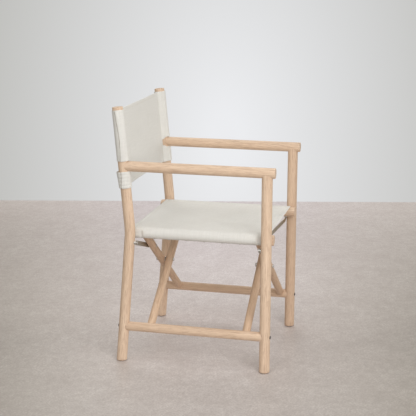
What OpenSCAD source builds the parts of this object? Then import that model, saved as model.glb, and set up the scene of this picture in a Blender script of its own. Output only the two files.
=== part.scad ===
// Folding director chair: two round-wood side frames joined by a scissor
// underframe, with a canvas seat between the seat rails and a canvas back
// sleeved over the rear posts. The origin is on the floor under the middle
// of the chair, +Z is up, the sitter faces -Y and the sitter's right is -X.

/* [Side frames] */

// Distance between the left and right leg axes
leg_spacing = 495; // [480:1:505]
// Diameter of the legs and rear posts
leg_d = 35; // [34:0.5:36]
// Diameter of the armrests
arm_d = 34; // [33:0.5:34]
// Height of the armrest axis
arm_z = 669.5; // [660:0.5:680]
// Front end of the armrest
arm_front_y = -269.8; // [-275:0.1:-266]
// Position of the front leg axis from front to back
front_leg_y = -243.5; // [-246:0.5:-241]
// Rear post axis at the floor
rear_foot_y = 247.4; // [245:0.1:250]
// Lean of the lower rear post towards the front
post_lower_lean = 4.39; // [4:0.01:4.8]
// Lean of the upper rear post towards the back
post_upper_lean = 5.4; // [5:0.1:6]
// Height at which the rear post bends
post_bend_z = 452; // [445:1:458]
// Radius of the bend in the rear post
post_bend_r = 260; // [220:5:300]
// Height of the rear post
post_top_z = 862.5; // [840:0.5:880]

/* [Underframe] */

// Diameter of the two stretchers
stretcher_d = 31; // [29:0.5:31]
// Height of the stretcher axis
stretcher_z = 122.5; // [118:0.5:127]
// Diameter of the crossed bars
bar_d = 26.5; // [25:0.5:26.5]
// Height of the crossing
crossing_z = 294.5; // [290:0.5:298]
// Inner rear bar position
inner_rear_y = 146.5; // [144:0.5:146.5]
// Inner front bar position
inner_front_y = -179; // [-179:0.5:-176]
// Distance between the axes of an inner bar and the outer bar beside it
bar_offset = 29.5; // [29.5:0.1:29.8]
// Diameter of the seat rails
rail_d = 35; // [34:0.5:35]
// Seat rail axis to the middle of the chair
rail_x = 211; // [207:0.5:211]
// Height of the seat rail axis
rail_z = 441.1; // [440:0.1:442]
// Front end of the seat rails
rail_front_y = -262; // [-264:0.5:-258]
// Rear end of the seat rails
rail_rear_y = 234; // [230:0.5:236]
// Half width left on the outer side where a rail is flattened to pass the legs
rail_flat = 12.5; // [11:0.5:13]
// Where the front flat of a rail starts
rail_flat_front_y = -199; // [-208:1:-195]
// Where the rear flat of a rail starts
rail_flat_rear_y = 168; // [165:1:177]

/* [Links] */

// Height of the link pivot on the legs and posts
link_z = 413; // [411:0.5:415]
// Distance from the crossing to the link pivot on a bar
link_q = 132.26; // [130:0.01:134]
// Width of the flat steel links
link_w = 15.4; // [14:0.1:16]
// Thickness of the links
link_t = 2.2; // [2:0.1:2.2]

/* [Canvas] */

// Thickness of the canvas
canvas_t = 1.5; // [1.2:0.1:1.5]
// Front edge of the seat canvas
seat_front_y = -244; // [-246:0.5:-240]
// Rear edge of the seat canvas
seat_rear_y = 217; // [212:0.5:220]
// Bottom edge of the back canvas
back_bottom_z = 599; // [595:1:604]
// Top edge of the back canvas
back_top_z = 852; // [844:0.5:854]
// Clear height cut out of the sleeves round the armrest
arm_gap = 36.4; // [36:0.2:40]

/* [Part] */

// Which part to show

/* [Hidden] */

$fn = 64;
X = leg_spacing / 2;
LR = leg_d / 2;
AR = arm_d / 2;
SR = stretcher_d / 2;
BR = bar_d / 2;
RR = rail_d / 2;
outer_rear_y = inner_rear_y + bar_offset;
outer_front_y = inner_front_y - bar_offset;
bar_angle = atan2(crossing_z - stretcher_z, X);
bar_upper_angle = atan2(rail_z - crossing_z, rail_x);
bar_lower_len = sqrt(X * X + (crossing_z - stretcher_z) * (crossing_z - stretcher_z));
bar_upper_len = sqrt(rail_x * rail_x + (rail_z - crossing_z) * (rail_z - crossing_z));
qx = link_q * cos(bar_angle);
qz = crossing_z + link_q * sin(bar_angle);
link_len = sqrt((X - qx) * (X - qx) + (link_z - qz) * (link_z - qz));
link_angle = atan2(link_z - qz, X - qx);
bend_angle = post_lower_lean + post_upper_lean;
bend_t = post_bend_r * tan(bend_angle / 2);
bend_y = rear_foot_y - post_bend_z * tan(post_lower_lean);
s1_y = bend_y + bend_t * sin(post_lower_lean);
s1_z = post_bend_z - bend_t * cos(post_lower_lean);
s2_y = bend_y + bend_t * sin(post_upper_lean);
s2_z = post_bend_z + bend_t * cos(post_upper_lean);
bend_cy = s1_y + post_bend_r * cos(post_lower_lean);
bend_cz = s1_z + post_bend_r * sin(post_lower_lean);
lower_len = s1_z / cos(post_lower_lean);
upper_len = (post_top_z - s2_z) / cos(post_upper_lean);
post_arm_y = bend_y + (arm_z - post_bend_z) * tan(post_upper_lean);
post_link_y = rear_foot_y - link_z * tan(post_lower_lean);
post_str_y = rear_foot_y - stretcher_z * tan(post_lower_lean);
socket_r = SR + 0.3;
socket_front_y = front_leg_y + 7.4;
socket_rear_y = post_str_y - 6.2;
stretcher_front_y = socket_front_y + 0.3;
stretcher_rear_y = socket_rear_y - 0.3;
spot_front_y = front_leg_y - LR + 1.2;
spot_rear_y = post_str_y + LR - 1.2;
leg_back_y = front_leg_y + LR;
post_face_y = post_link_y - LR / cos(post_lower_lean);
plate_gap = 0.4;
plate_rear_y = outer_rear_y + BR + plate_gap;
plate_front_y = outer_front_y - BR - plate_gap - link_t;
plate_inner_rear_y = inner_rear_y + BR + plate_gap;
plate_inner_front_y = inner_front_y - BR - plate_gap - link_t;
hinge_bolt_r = 4;
pin_r = 3;
sleeve_r = LR + 0.3;
seat_r = RR + 0.3;
foot_z = 2;
tack_ys = [-150, -90, -30, 30, 90, 140];
wood = [0.85, 0.72, 0.58];
wood_dark = [0.78, 0.64, 0.50];
steel = [0.66, 0.65, 0.62];
cloth = [0.88, 0.87, 0.83];

// A cylinder along +Y from y0 to y1 at (x, z)
module rod_y(x, z, r, y0, y1) {
  translate([x, y0, z]) rotate([-90, 0, 0]) cylinder(r = r, h = y1 - y0);
}

// Round bar in the XZ plane through (x, z), leaning by a from the X axis
module rod_xz(x, y, z, a, r, l0, l1) {
  translate([x, y, z]) rotate([0, 90 - a, 0]) translate([0, 0, l0]) cylinder(r = r, h = l1 - l0);
}

module mirrored() { mirror([1, 0, 0]) children(); }

// ---------- side frame, drawn for the right side (x = -X) ----------

module front_leg() {
  color(wood) difference() {
    union() {
      translate([-X, front_leg_y, foot_z]) cylinder(r1 = LR - 3, r2 = LR, h = 3);
      translate([-X, front_leg_y, foot_z + 3]) cylinder(r = LR, h = arm_z - 5 - foot_z - 3);
    }
    rod_y(-X, arm_z, AR, front_leg_y - 40, front_leg_y + 40);
    rod_y(-X, stretcher_z, socket_r, socket_front_y, front_leg_y + 40);
    rod_y(-X, stretcher_z, hinge_bolt_r + 0.05, front_leg_y - 40, front_leg_y + 40);
    rod_y(-X, stretcher_z, 6.2, front_leg_y - 40, spot_front_y);
    rod_y(-X, link_z, pin_r + 0.05, front_leg_y - 2, front_leg_y + 40);
    rod_y(-X, link_z, 6.1, leg_back_y - 1.4, front_leg_y + 40);
    translate([-X, front_leg_y, arm_z - 45]) cylinder(r = 6.05, h = 60);
    translate([-X, front_leg_y, 0]) cylinder(r = 2.05, h = 14);
  }
}

module post_upper_solid(r, s0, s1) {
  translate([-X, s2_y, s2_z]) rotate([-post_upper_lean, 0, 0]) translate([0, 0, s0]) cylinder(r = r, h = s1 - s0);
}

module rear_post() {
  color(wood) difference() {
    union() {
      translate([-X, rear_foot_y, 0]) rotate([post_lower_lean, 0, 0]) {
        translate([0, 0, 5]) cylinder(r = LR, h = lower_len - 5);
        translate([0, 0, -1]) cylinder(r1 = LR - 4, r2 = LR, h = 6);
      }
      translate([-X, bend_cy, bend_cz]) rotate([90, 0, 90]) rotate([0, 0, 180 - post_upper_lean - 0.66])
        rotate_extrude(angle = bend_angle + 1.32) translate([post_bend_r, 0]) circle(r = LR - 0.2);
      post_upper_solid(LR, 0, upper_len - 1.5);
      translate([-X, s2_y, s2_z]) rotate([-post_upper_lean, 0, 0]) translate([0, 0, upper_len - 1.5]) cylinder(r1 = LR, r2 = LR - 1.5, h = 1.5);
    }
    translate([-X - 40, rear_foot_y - 40, -20]) cube([80, 80, 20 + foot_z]);
    rod_y(-X, stretcher_z, socket_r, post_str_y - 40, socket_rear_y);
    rod_y(-X, stretcher_z, hinge_bolt_r + 0.05, post_str_y - 40, post_str_y + 40);
    rod_y(-X, stretcher_z, 6.2, spot_rear_y, post_str_y + 40);
    rod_y(-X, link_z, pin_r + 0.05, post_link_y - 40, post_link_y + 6);
    rod_y(-X, link_z, 7.6, post_link_y - 40, post_face_y + 2);
    rod_y(-X, arm_z, 6.05, post_arm_y - 40, post_arm_y + 8);
    translate([-X, rear_foot_y, 0]) cylinder(r = 2.05, h = 14);
  }
}

module armrest() {
  color(wood) difference() {
    union() {
      rod_y(-X, arm_z, AR, arm_front_y + 1, post_arm_y - 5);
      translate([-X, arm_front_y + 1, arm_z]) rotate([90, 0, 0]) cylinder(r1 = AR, r2 = AR - 1, h = 1);
    }
    post_upper_solid(LR, 100, 320);
    rod_y(-X, arm_z, 6.05, post_arm_y - 50, post_arm_y);
    translate([-X, front_leg_y, arm_z - 60]) cylinder(r = 6.05, h = 68);
  }
}

module arm_dowels() {
  color(wood_dark) {
    translate([-X, front_leg_y, arm_z - 44.5]) cylinder(r = 6, h = 52);
    rod_y(-X, arm_z, 6, post_arm_y - 49, post_arm_y + 7.5);
  }
}

module glide(y) {
  translate([-X, y, 0]) cylinder(r = 12, h = foot_z);
  translate([-X, y, foot_z]) cylinder(r = 2, h = 11.5);
}

module glides() {
  color([0.12, 0.11, 0.1]) {
    glide(front_leg_y);
    glide(rear_foot_y);
  }
}

module stretcher_bolts() {
  color(steel) {
    rod_y(-X, stretcher_z, hinge_bolt_r, spot_front_y, socket_front_y + 36);
    rod_y(-X, stretcher_z, 6, spot_front_y - 3, spot_front_y);
    rod_y(-X, stretcher_z, hinge_bolt_r, socket_rear_y - 36, spot_rear_y);
    rod_y(-X, stretcher_z, 6, spot_rear_y, spot_rear_y + 3);
  }
}

module link_pins() {
  color(steel) {
    rod_y(-X, link_z, 7.5, plate_rear_y + link_t + 0.3, post_face_y + 1.9);
    rod_y(-X, link_z, pin_r, plate_rear_y - 0.4, post_link_y + 5.5);
    rod_y(-X, link_z, 6, plate_rear_y - 2.2, plate_rear_y - 0.3);
    rod_y(-X, link_z, 6, leg_back_y - 1.3, plate_front_y - 0.3);
    rod_y(-X, link_z, pin_r, front_leg_y - 1.5, plate_front_y + link_t + 0.4);
    rod_y(-X, link_z, 7, plate_front_y + link_t + 0.3, plate_front_y + link_t + 4.8);
  }
}

// Canvas tube round the rear post between two heights
module sleeve(z0, z1) {
  t0 = (z0 - s2_z) / cos(post_upper_lean);
  t1 = (z1 - s2_z) / cos(post_upper_lean);
  color(cloth) difference() {
    post_upper_solid(sleeve_r + canvas_t, t0, t1);
    post_upper_solid(sleeve_r, t0 - 5, t1 + 5);
  }
}

// ---------- underframe ----------

module stretcher() {
  color(wood) difference() {
    rod_y(-X, stretcher_z, SR, stretcher_front_y, stretcher_rear_y);
    rod_y(-X, stretcher_z, hinge_bolt_r + 0.15, stretcher_front_y - 5, socket_front_y + 38);
    rod_y(-X, stretcher_z, hinge_bolt_r + 0.15, socket_rear_y - 38, stretcher_rear_y + 5);
    children();
  }
}

module bar_dowels(y) {
  rod_xz(-X, y, stretcher_z, bar_angle, 5, 4, SR + 22);
  rod_xz(0, y, crossing_z, bar_upper_angle, 5, bar_upper_len - RR - 22, bar_upper_len - 4);
}

module bar_dowel_holes(y) {
  rod_xz(-X, y, stretcher_z, bar_angle, 5.05, 3.8, SR + 22.2);
  rod_xz(0, y, crossing_z, bar_upper_angle, 5.05, bar_upper_len - RR - 22.2, bar_upper_len - 3.8);
}

// Bar from the right stretcher through the crossing to the left rail
module bar(y, bolt_r) {
  color(wood) difference() {
    rod_xz(-X, y, stretcher_z, (bar_angle + bar_upper_angle) / 2, BR, 0, bar_lower_len + bar_upper_len);
    rod_y(-X, stretcher_z, SR, y - 40, y + 40);
    rod_y(rail_x, rail_z, RR, y - 40, y + 40);
    bar_dowel_holes(y);
    rod_y(0, crossing_z, bolt_r, y - 40, y + 40);
    rod_y(qx, qz, pin_r + 0.05, y - 40, y + 40);
  }
}

// Left seat rail, with its outer side flattened beside the legs
module seat_rail(ys) {
  color(wood) difference() {
    rod_y(rail_x, rail_z, RR, rail_front_y, rail_rear_y);
    translate([rail_x + rail_flat, rail_front_y - 5, rail_z - 40]) cube([40, rail_flat_front_y - rail_front_y + 5, 80]);
    translate([rail_x + rail_flat, rail_flat_rear_y, rail_z - 40]) cube([40, rail_rear_y - rail_flat_rear_y + 5, 80]);
    for (y = ys) bar_dowel_holes(y);
    for (y = tack_ys) translate([rail_x + 3, y, rail_z - RR - 5]) cylinder(r = 0.95, h = 15.5);
  }
}

module seat_tacks() {
  color(steel) for (y = tack_ys) {
    translate([rail_x + 3, y, rail_z - seat_r - canvas_t - 1]) cylinder(r = 3.5, h = 0.8);
    translate([rail_x + 3, y, rail_z - seat_r - canvas_t - 0.2]) cylinder(r = 0.9, h = 12);
  }
}

// Screw through a bar at the link pivot, its shank flush on the link's side
module link_screw(y, side) {
  if (side > 0) {
    rod_y(qx, qz, pin_r, y - BR, y + BR - 0.1);
    rod_y(qx, qz, 5.5, y - BR - 1.2, y - BR);
  } else {
    rod_y(qx, qz, pin_r, y - BR + 0.1, y + BR);
    rod_y(qx, qz, 5.5, y + BR, y + BR + 1.2);
  }
}

module crossing_bolts() {
  color(steel) {
    rod_y(0, crossing_z, hinge_bolt_r, inner_rear_y - BR - 0.3, outer_rear_y + BR + 5);
    rod_y(0, crossing_z, 6.5, inner_rear_y - BR - 3.6, inner_rear_y - BR - 0.3);
    rod_y(0, crossing_z, hinge_bolt_r, outer_front_y - BR, inner_front_y + BR + 5);
    rod_y(0, crossing_z, 6.5, outer_front_y - BR - 3.3, outer_front_y - BR);
  }
}

module crossing_washers() {
  color(steel) {
    difference() {
      rod_y(0, crossing_z, 8, inner_rear_y + BR + 0.3, outer_rear_y - BR);
      rod_y(0, crossing_z, hinge_bolt_r + 0.1, inner_rear_y, outer_rear_y);
    }
    difference() {
      rod_y(0, crossing_z, 8, outer_front_y + BR, inner_front_y - BR - 0.3);
      rod_y(0, crossing_z, hinge_bolt_r + 0.1, outer_front_y, inner_front_y);
    }
  }
}

module crossing_nuts() {
  color(steel) {
    difference() {
      translate([0, outer_rear_y + BR, crossing_z]) rotate([-90, 0, 0]) cylinder(r = 7.2, h = 4.5, $fn = 6);
      rod_y(0, crossing_z, hinge_bolt_r + 0.02, outer_rear_y, outer_rear_y + 40);
    }
    difference() {
      translate([0, inner_front_y + BR + 0.3, crossing_z]) rotate([-90, 0, 0]) cylinder(r = 7.2, h = 4.5, $fn = 6);
      rod_y(0, crossing_z, hinge_bolt_r + 0.02, inner_front_y, inner_front_y + 40);
    }
  }
}

// ---------- links, drawn for the right side ----------

// Flat link from the leg pivot (plane starting at ya) to the bar pivot (plane starting at yb)
module link(ya, yb) {
  color(steel) translate([-X, 0, link_z]) rotate([0, link_angle, 0]) difference() {
    union() {
      translate([0, ya, 0]) rotate([-90, 0, 0]) cylinder(r = 8, h = link_t);
      translate([link_len, yb, 0]) rotate([-90, 0, 0]) cylinder(r = 8, h = link_t);
      translate([0, 0, -link_w / 2]) linear_extrude(height = link_w)
        polygon([[0, ya], [24, ya], [link_len - 24, yb], [link_len, yb], [link_len, yb + link_t],
          [link_len - 24, yb + link_t], [24, ya + link_t], [0, ya + link_t]]);
    }
    translate([0, ya - 1, 0]) rotate([-90, 0, 0]) cylinder(r = pin_r + 0.15, h = link_t + 2);
    translate([link_len, yb - 1, 0]) rotate([-90, 0, 0]) cylinder(r = pin_r + 0.05, h = link_t + 2);
  }
}

module link_rivet(yb) {
  color([0.55, 0.54, 0.52]) translate([-X, 0, link_z]) rotate([0, link_angle, 0])
    translate([link_len, yb, 0]) rotate([-90, 0, 0]) cylinder(r = pin_r, h = link_t);
}

// ---------- canvas ----------

// Section of the seat canvas over the left rail and half the seat
module seat_section(flat) {
  difference() {
    union() {
      translate([rail_x, rail_z]) difference() {
        circle(r = seat_r + canvas_t);
        circle(r = seat_r);
        translate([-40, -40]) square([40, 40 + seat_r - 0.7]);
        if (flat) translate([rail_flat + 0.3, -40]) square([40, 80]);
      }
      if (flat) translate([rail_x + rail_flat + 0.3, rail_z - 13.8]) square([canvas_t, 27.6]);
      translate([-1, rail_z + seat_r - 0.7]) square([rail_x - 4.2, canvas_t]);
    }
  }
}

module seat_half() {
  translate([0, seat_rear_y, 0]) rotate([90, 0, 0]) linear_extrude(height = seat_rear_y - rail_flat_rear_y - 0.6) seat_section(true);
  translate([0, rail_flat_rear_y + 0.6, 0]) rotate([90, 0, 0]) linear_extrude(height = rail_flat_rear_y - rail_flat_front_y + 1.2) seat_section(false);
  translate([0, rail_flat_front_y - 0.6, 0]) rotate([90, 0, 0]) linear_extrude(height = rail_flat_front_y - seat_front_y - 0.6) seat_section(true);
}

module seat_canvas() {
  color(cloth) difference() {
    union() {
      seat_half();
      mirrored() seat_half();
    }
    for (y = tack_ys) for (s = [-1, 1]) translate([s * (rail_x + 3), y, rail_z - RR - 8]) cylinder(r = 1.2, h = 12);
  }
}

module back_panel() {
  t0 = (back_bottom_z - s2_z) / cos(post_upper_lean);
  t1 = (back_top_z - s2_z) / cos(post_upper_lean);
  w = X - sleeve_r - canvas_t - 0.3;
  color(cloth) translate([0, s2_y, s2_z]) rotate([-post_upper_lean, 0, 0])
    translate([-w, -canvas_t / 2, t0]) cube([2 * w, canvas_t, t1 - t0]);
}

// ---------- nodes ----------

front_leg();  // right_front_leg
rear_post();  // right_rear_post
armrest();  // right_armrest
arm_dowels();  // right_arm_dowels
glides();  // right_glides
stretcher_bolts();  // right_stretcher_bolts
link_pins();  // right_link_pins
sleeve(arm_z + arm_gap / 2, back_top_z);  // right_back_sleeve_upper
sleeve(back_bottom_z, arm_z - arm_gap / 2);  // right_back_sleeve_lower
mirrored() front_leg();  // left_front_leg
mirrored() rear_post();  // left_rear_post
mirrored() armrest();  // left_armrest
mirrored() arm_dowels();  // left_arm_dowels
mirrored() glides();  // left_glides
mirrored() stretcher_bolts();  // left_stretcher_bolts
mirrored() link_pins();  // left_link_pins
mirrored() sleeve(arm_z + arm_gap / 2, back_top_z);  // left_back_sleeve_upper
mirrored() sleeve(back_bottom_z, arm_z - arm_gap / 2);  // left_back_sleeve_lower
back_panel();
stretcher() { bar_dowel_holes(inner_rear_y); bar_dowel_holes(inner_front_y); }  // right_stretcher
seat_rail([inner_rear_y, inner_front_y]);  // left_seat_rail
bar(inner_rear_y, hinge_bolt_r + 0.15);  // inner_rear_bar
bar(inner_front_y, hinge_bolt_r + 0.15);  // inner_front_bar
color(wood_dark) { bar_dowels(inner_rear_y); bar_dowels(inner_front_y); }  // inner_frame_dowels
color(steel) { link_screw(inner_rear_y, 1); link_screw(inner_front_y, -1); }  // inner_link_screws
seat_tacks();  // left_seat_tacks
mirrored() stretcher() { bar_dowel_holes(outer_rear_y); bar_dowel_holes(outer_front_y); }  // left_stretcher
mirrored() seat_rail([outer_rear_y, outer_front_y]);  // right_seat_rail
mirrored() bar(outer_rear_y, hinge_bolt_r + 0.05);  // outer_rear_bar
mirrored() bar(outer_front_y, hinge_bolt_r + 0.05);  // outer_front_bar
color(wood_dark) mirrored() { bar_dowels(outer_rear_y); bar_dowels(outer_front_y); }  // outer_frame_dowels
color(steel) mirrored() { link_screw(outer_rear_y, 1); link_screw(outer_front_y, -1); }  // outer_link_screws
mirrored() seat_tacks();  // right_seat_tacks
crossing_bolts();
crossing_washers();
crossing_nuts();
seat_canvas();
link(plate_rear_y, plate_rear_y);  // right_rear_link
link_rivet(plate_rear_y);  // right_rear_link_rivet
link(plate_front_y, plate_front_y);  // right_front_link
link_rivet(plate_front_y);  // right_front_link_rivet
mirrored() link(plate_rear_y, plate_inner_rear_y);  // left_rear_link
mirrored() link_rivet(plate_inner_rear_y);  // left_rear_link_rivet
mirrored() link(plate_front_y, plate_inner_front_y);  // left_front_link
mirrored() link_rivet(plate_inner_front_y);  // left_front_link_rivet
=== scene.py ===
import math

import bmesh
import bpy
import numpy as np
from mathutils import Matrix, Vector


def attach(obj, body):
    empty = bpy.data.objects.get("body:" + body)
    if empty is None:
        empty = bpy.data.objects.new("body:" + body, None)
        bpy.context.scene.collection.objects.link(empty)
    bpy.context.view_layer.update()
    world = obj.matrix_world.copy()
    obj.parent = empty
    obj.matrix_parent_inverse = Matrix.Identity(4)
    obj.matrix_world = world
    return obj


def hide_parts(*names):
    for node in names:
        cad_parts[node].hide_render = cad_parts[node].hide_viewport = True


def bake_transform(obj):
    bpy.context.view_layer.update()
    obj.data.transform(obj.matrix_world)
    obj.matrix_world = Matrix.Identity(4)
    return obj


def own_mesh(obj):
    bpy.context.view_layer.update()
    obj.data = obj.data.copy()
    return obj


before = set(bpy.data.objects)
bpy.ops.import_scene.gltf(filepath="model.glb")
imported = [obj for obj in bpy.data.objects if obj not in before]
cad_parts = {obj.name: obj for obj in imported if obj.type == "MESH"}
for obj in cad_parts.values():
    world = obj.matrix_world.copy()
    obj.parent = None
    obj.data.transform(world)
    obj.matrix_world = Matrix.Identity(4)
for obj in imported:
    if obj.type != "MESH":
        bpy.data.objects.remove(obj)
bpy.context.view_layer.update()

pi = math.pi
M = 0.001  # the geometry below is written in millimetres


# ------------------------------------------------------------------ dimensions
X = 247.5
LR = 17.5
AR = 17.0
ARM_Z = 669.5
ARM_Y0 = -269.8
LEG_Y = -243.5
FOOT_Y = 247.4
LOW = math.radians(4.39)
UP = math.radians(5.4)
BEND_Z = 452.0
BEND_R = 260.0
TOP_Z = 862.5
SR = 15.5
STR_Z = 122.5
BR = 13.25
CROSS_Z = 294.5
IR_Y, IF_Y = 146.5, -179.0
OR_Y, OF_Y = 176.0, -208.5
RR = 17.5
RAIL_X, RAIL_Z = 211.0, 441.1
RAIL_Y0, RAIL_Y1 = -262.0, 234.0
FLAT = 12.5
LINK_Z = 413.0
LINK_Q = 132.26
BOT = 2.0

BEND = LOW + UP
BEND_T = BEND_R * math.tan(BEND / 2)
BEND_Y = FOOT_Y - BEND_Z * math.tan(LOW)
S1 = np.array([BEND_Y + BEND_T * math.sin(LOW), BEND_Z - BEND_T * math.cos(LOW)])
S2 = np.array([BEND_Y + BEND_T * math.sin(UP), BEND_Z + BEND_T * math.cos(UP)])
BC = np.array([S1[0] + BEND_R * math.cos(LOW), S1[1] + BEND_R * math.sin(LOW)])
L1 = S1[1] / math.cos(LOW)
L2 = BEND_R * BEND
L3 = (TOP_Z - S2[1]) / math.cos(UP)
BAR_A = math.atan2(CROSS_Z - STR_Z, X)
BAR_L = math.hypot(CROSS_Z - STR_Z, X) + math.hypot(RAIL_Z - CROSS_Z, RAIL_X)
QX, QZ = LINK_Q * math.cos(BAR_A), CROSS_Z + LINK_Q * math.sin(BAR_A)
LINK_L = math.hypot(X - QX, LINK_Z - QZ)
LINK_A = math.atan2(LINK_Z - QZ, X - QX)
PLATE_R = OR_Y + BR + 0.4
PLATE_F = OF_Y - BR - 0.4 - 2.2
PLATE_IR = IR_Y + BR + 0.4
PLATE_IF = IF_Y - BR - 0.4 - 2.2
POST_STR_Y = FOOT_Y - STR_Z * math.tan(LOW)
POST_LINK_Y = FOOT_Y - LINK_Z * math.tan(LOW)
SOCK_F = LEG_Y + 7.4
SOCK_R = POST_STR_Y - 6.2


def post_y(z):
    """The upper post axis at a height."""
    return S2[0] + (z - S2[1]) * math.tan(UP)


# ------------------------------------------------------------------- materials
class Nodes:
    """A small writer for shader nodes."""

    def __init__(self, name):
        self.mat = bpy.data.materials.new(name)
        self.mat.use_nodes = True
        self.nt = self.mat.node_tree
        self.nt.nodes.clear()
        self.out = self.nt.nodes.new("ShaderNodeOutputMaterial")
        self.bsdf = self.nt.nodes.new("ShaderNodeBsdfPrincipled")
        self.link(self.bsdf.outputs[0], self.out.inputs["Surface"])

    def link(self, a, b):
        self.nt.links.new(a, b)

    def put(self, socket, value):
        if isinstance(value, bpy.types.NodeSocket):
            self.link(value, socket)
        else:
            socket.default_value = value

    def attr(self, name, out="Vector"):
        n = self.nt.nodes.new("ShaderNodeAttribute")
        n.attribute_name = name
        return n.outputs[out]

    def math(self, op, a, b=0.0, c=0.0):
        n = self.nt.nodes.new("ShaderNodeMath")
        n.operation = op
        self.put(n.inputs[0], a)
        self.put(n.inputs[1], b)
        self.put(n.inputs[2], c)
        return n.outputs[0]

    def vec(self, op, a, b=(0, 0, 0)):
        n = self.nt.nodes.new("ShaderNodeVectorMath")
        n.operation = op
        self.put(n.inputs[0], a)
        self.put(n.inputs[1], b)
        return n.outputs["Value"] if op in ("LENGTH", "DOT_PRODUCT") else n.outputs[0]

    def scaled(self, v, s):
        return self.vec("MULTIPLY", v, s)

    def split(self, v):
        n = self.nt.nodes.new("ShaderNodeSeparateXYZ")
        self.link(v, n.inputs[0])
        return n.outputs

    def join(self, x, y, z):
        n = self.nt.nodes.new("ShaderNodeCombineXYZ")
        for i, v in enumerate((x, y, z)):
            self.put(n.inputs[i], v)
        return n.outputs[0]

    def noise(self, v, scale=1.0, detail=2.0, rough=0.5, out="Fac"):
        n = self.nt.nodes.new("ShaderNodeTexNoise")
        self.link(v, n.inputs["Vector"])
        n.inputs["Scale"].default_value = scale
        n.inputs["Detail"].default_value = detail
        n.inputs["Roughness"].default_value = rough
        return n.outputs["Fac" if out == "Fac" else "Color"]

    def span(self, v, a, b, c=0.0, d=1.0, smooth=False):
        n = self.nt.nodes.new("ShaderNodeMapRange")
        if smooth:
            n.interpolation_type = "SMOOTHSTEP"
        self.link(v, n.inputs[0])
        for i, x in enumerate((a, b, c, d)):
            n.inputs[i + 1].default_value = x
        return n.outputs[0]

    def mix(self, f, a, b, kind="MIX"):
        n = self.nt.nodes.new("ShaderNodeMix")
        n.data_type = "RGBA"
        n.blend_type = kind
        self.put(n.inputs[0], f)
        for i, v in ((6, a), (7, b)):
            self.put(n.inputs[i], v if isinstance(v, bpy.types.NodeSocket) else (*v, 1.0))
        return n.outputs[2]

    def bump(self, height, strength, distance, normal=None):
        n = self.nt.nodes.new("ShaderNodeBump")
        n.inputs["Strength"].default_value = strength
        n.inputs["Distance"].default_value = distance
        self.link(height, n.inputs["Height"])
        if normal is not None:
            self.link(normal, n.inputs["Normal"])
        return n.outputs[0]

    def finish(self, **sockets):
        names = {"color": "Base Color", "rough": "Roughness", "metal": "Metallic", "normal": "Normal",
                 "spec": "Specular IOR Level", "sheen": "Sheen Weight", "sheen_rough": "Sheen Roughness",
                 "sheen_tint": "Sheen Tint"}
        for k, v in sockets.items():
            if k in ("color", "sheen_tint") and isinstance(v, tuple):
                v = (*v, 1.0)
            self.put(self.bsdf.inputs[names[k]], v)
        return self.mat


def make_oak(name, light, mid, dark, pore_dark):
    """Pale oak: growth rings round a pith outside the dowel, long streaks, pores. "g" is the place in the dowel in metres, its length along z."""
    n = Nodes(name)
    g = n.attr("g")
    tone_and_shade = n.attr("tone_and_shade", "Fac")
    x, y, z = n.split(g)
    wander = n.noise(n.scaled(g, (7, 7, 2.2)), 1.0, 2.0)
    wander2 = n.noise(n.scaled(g, (60, 60, 6)), 1.0, 2.0)
    dist = n.vec("LENGTH", n.join(x, y, 0.0))
    d = n.math("ADD", dist, n.math("ADD", n.math("MULTIPLY", wander, 0.016), n.math("MULTIPLY", wander2, 0.0016)))
    ring = n.math("FRACT", n.math("MULTIPLY", d, 360.0))
    late = n.span(ring, 0.45, 1.0, 0.0, 1.0, True)
    early = n.span(ring, 0.0, 0.22, 1.0, 0.0, True)
    streak = n.noise(n.scaled(g, (235, 235, 5.5)), 1.0, 3.0, 0.62)
    fine = n.noise(n.scaled(g, (900, 900, 12)), 1.0, 2.0, 0.6)
    broad = n.noise(n.scaled(g, (26, 26, 1.7)), 1.0, 2.0)
    pores = n.noise(n.scaled(g, (1500, 1500, 34)), 1.0, 1.0)
    pore = n.math("MULTIPLY", n.span(pores, 0.60, 0.72), n.math("ADD", n.math("MULTIPLY", early, 0.75), 0.25))
    rays = n.span(n.noise(n.scaled(g, (420, 420, 60)), 1.0, 1.0), 0.64, 0.74)
    t = n.math("ADD", n.math("ADD", n.math("MULTIPLY", streak, 0.75), n.math("MULTIPLY", broad, 0.45)), 0.20)
    t = n.math("ADD", t, n.math("MULTIPLY", fine, 0.40))
    # the piece's tone darkens the wood: a random tone, which on the far stretcher and the bars under the seat also
    # carries painted shade
    t = n.math("ADD", t, tone_and_shade)
    c = n.mix(n.span(t, 0.78, 1.24), light, mid)
    c = n.mix(n.math("MULTIPLY", late, n.span(broad, 0.3, 0.7, 0.20, 0.50)), c, dark)
    c = n.mix(n.math("MULTIPLY", rays, 0.16), c, tuple(min(1.0, v * 1.12) for v in light))
    fleck = n.span(n.noise(n.scaled(g, (300, 300, 26)), 1.0, 3.0, 0.65), 0.50, 0.66)
    mottle = n.span(n.noise(n.scaled(g, (120, 120, 26)), 1.0, 2.0), 0.40, 0.66)
    c = n.mix(n.math("MULTIPLY", fleck, 0.68), c, dark)
    c = n.mix(n.math("MULTIPLY", mottle, 0.22), c, tuple(v * 1.02 for v in mid))
    c = n.mix(n.math("MULTIPLY", pore, 0.50), c, pore_dark)
    height = n.math("SUBTRACT", n.math("MULTIPLY", fine, 0.5), n.math("MULTIPLY", pore, 1.0))
    height = n.math("ADD", height, n.math("MULTIPLY", late, 0.25))
    rough = n.math("ADD", n.span(streak, 0.3, 0.7, 0.50, 0.60), n.math("MULTIPLY", pore, 0.2))
    return n.finish(color=c, rough=rough, normal=n.bump(height, 0.35, 0.00025), spec=0.35)


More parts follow.
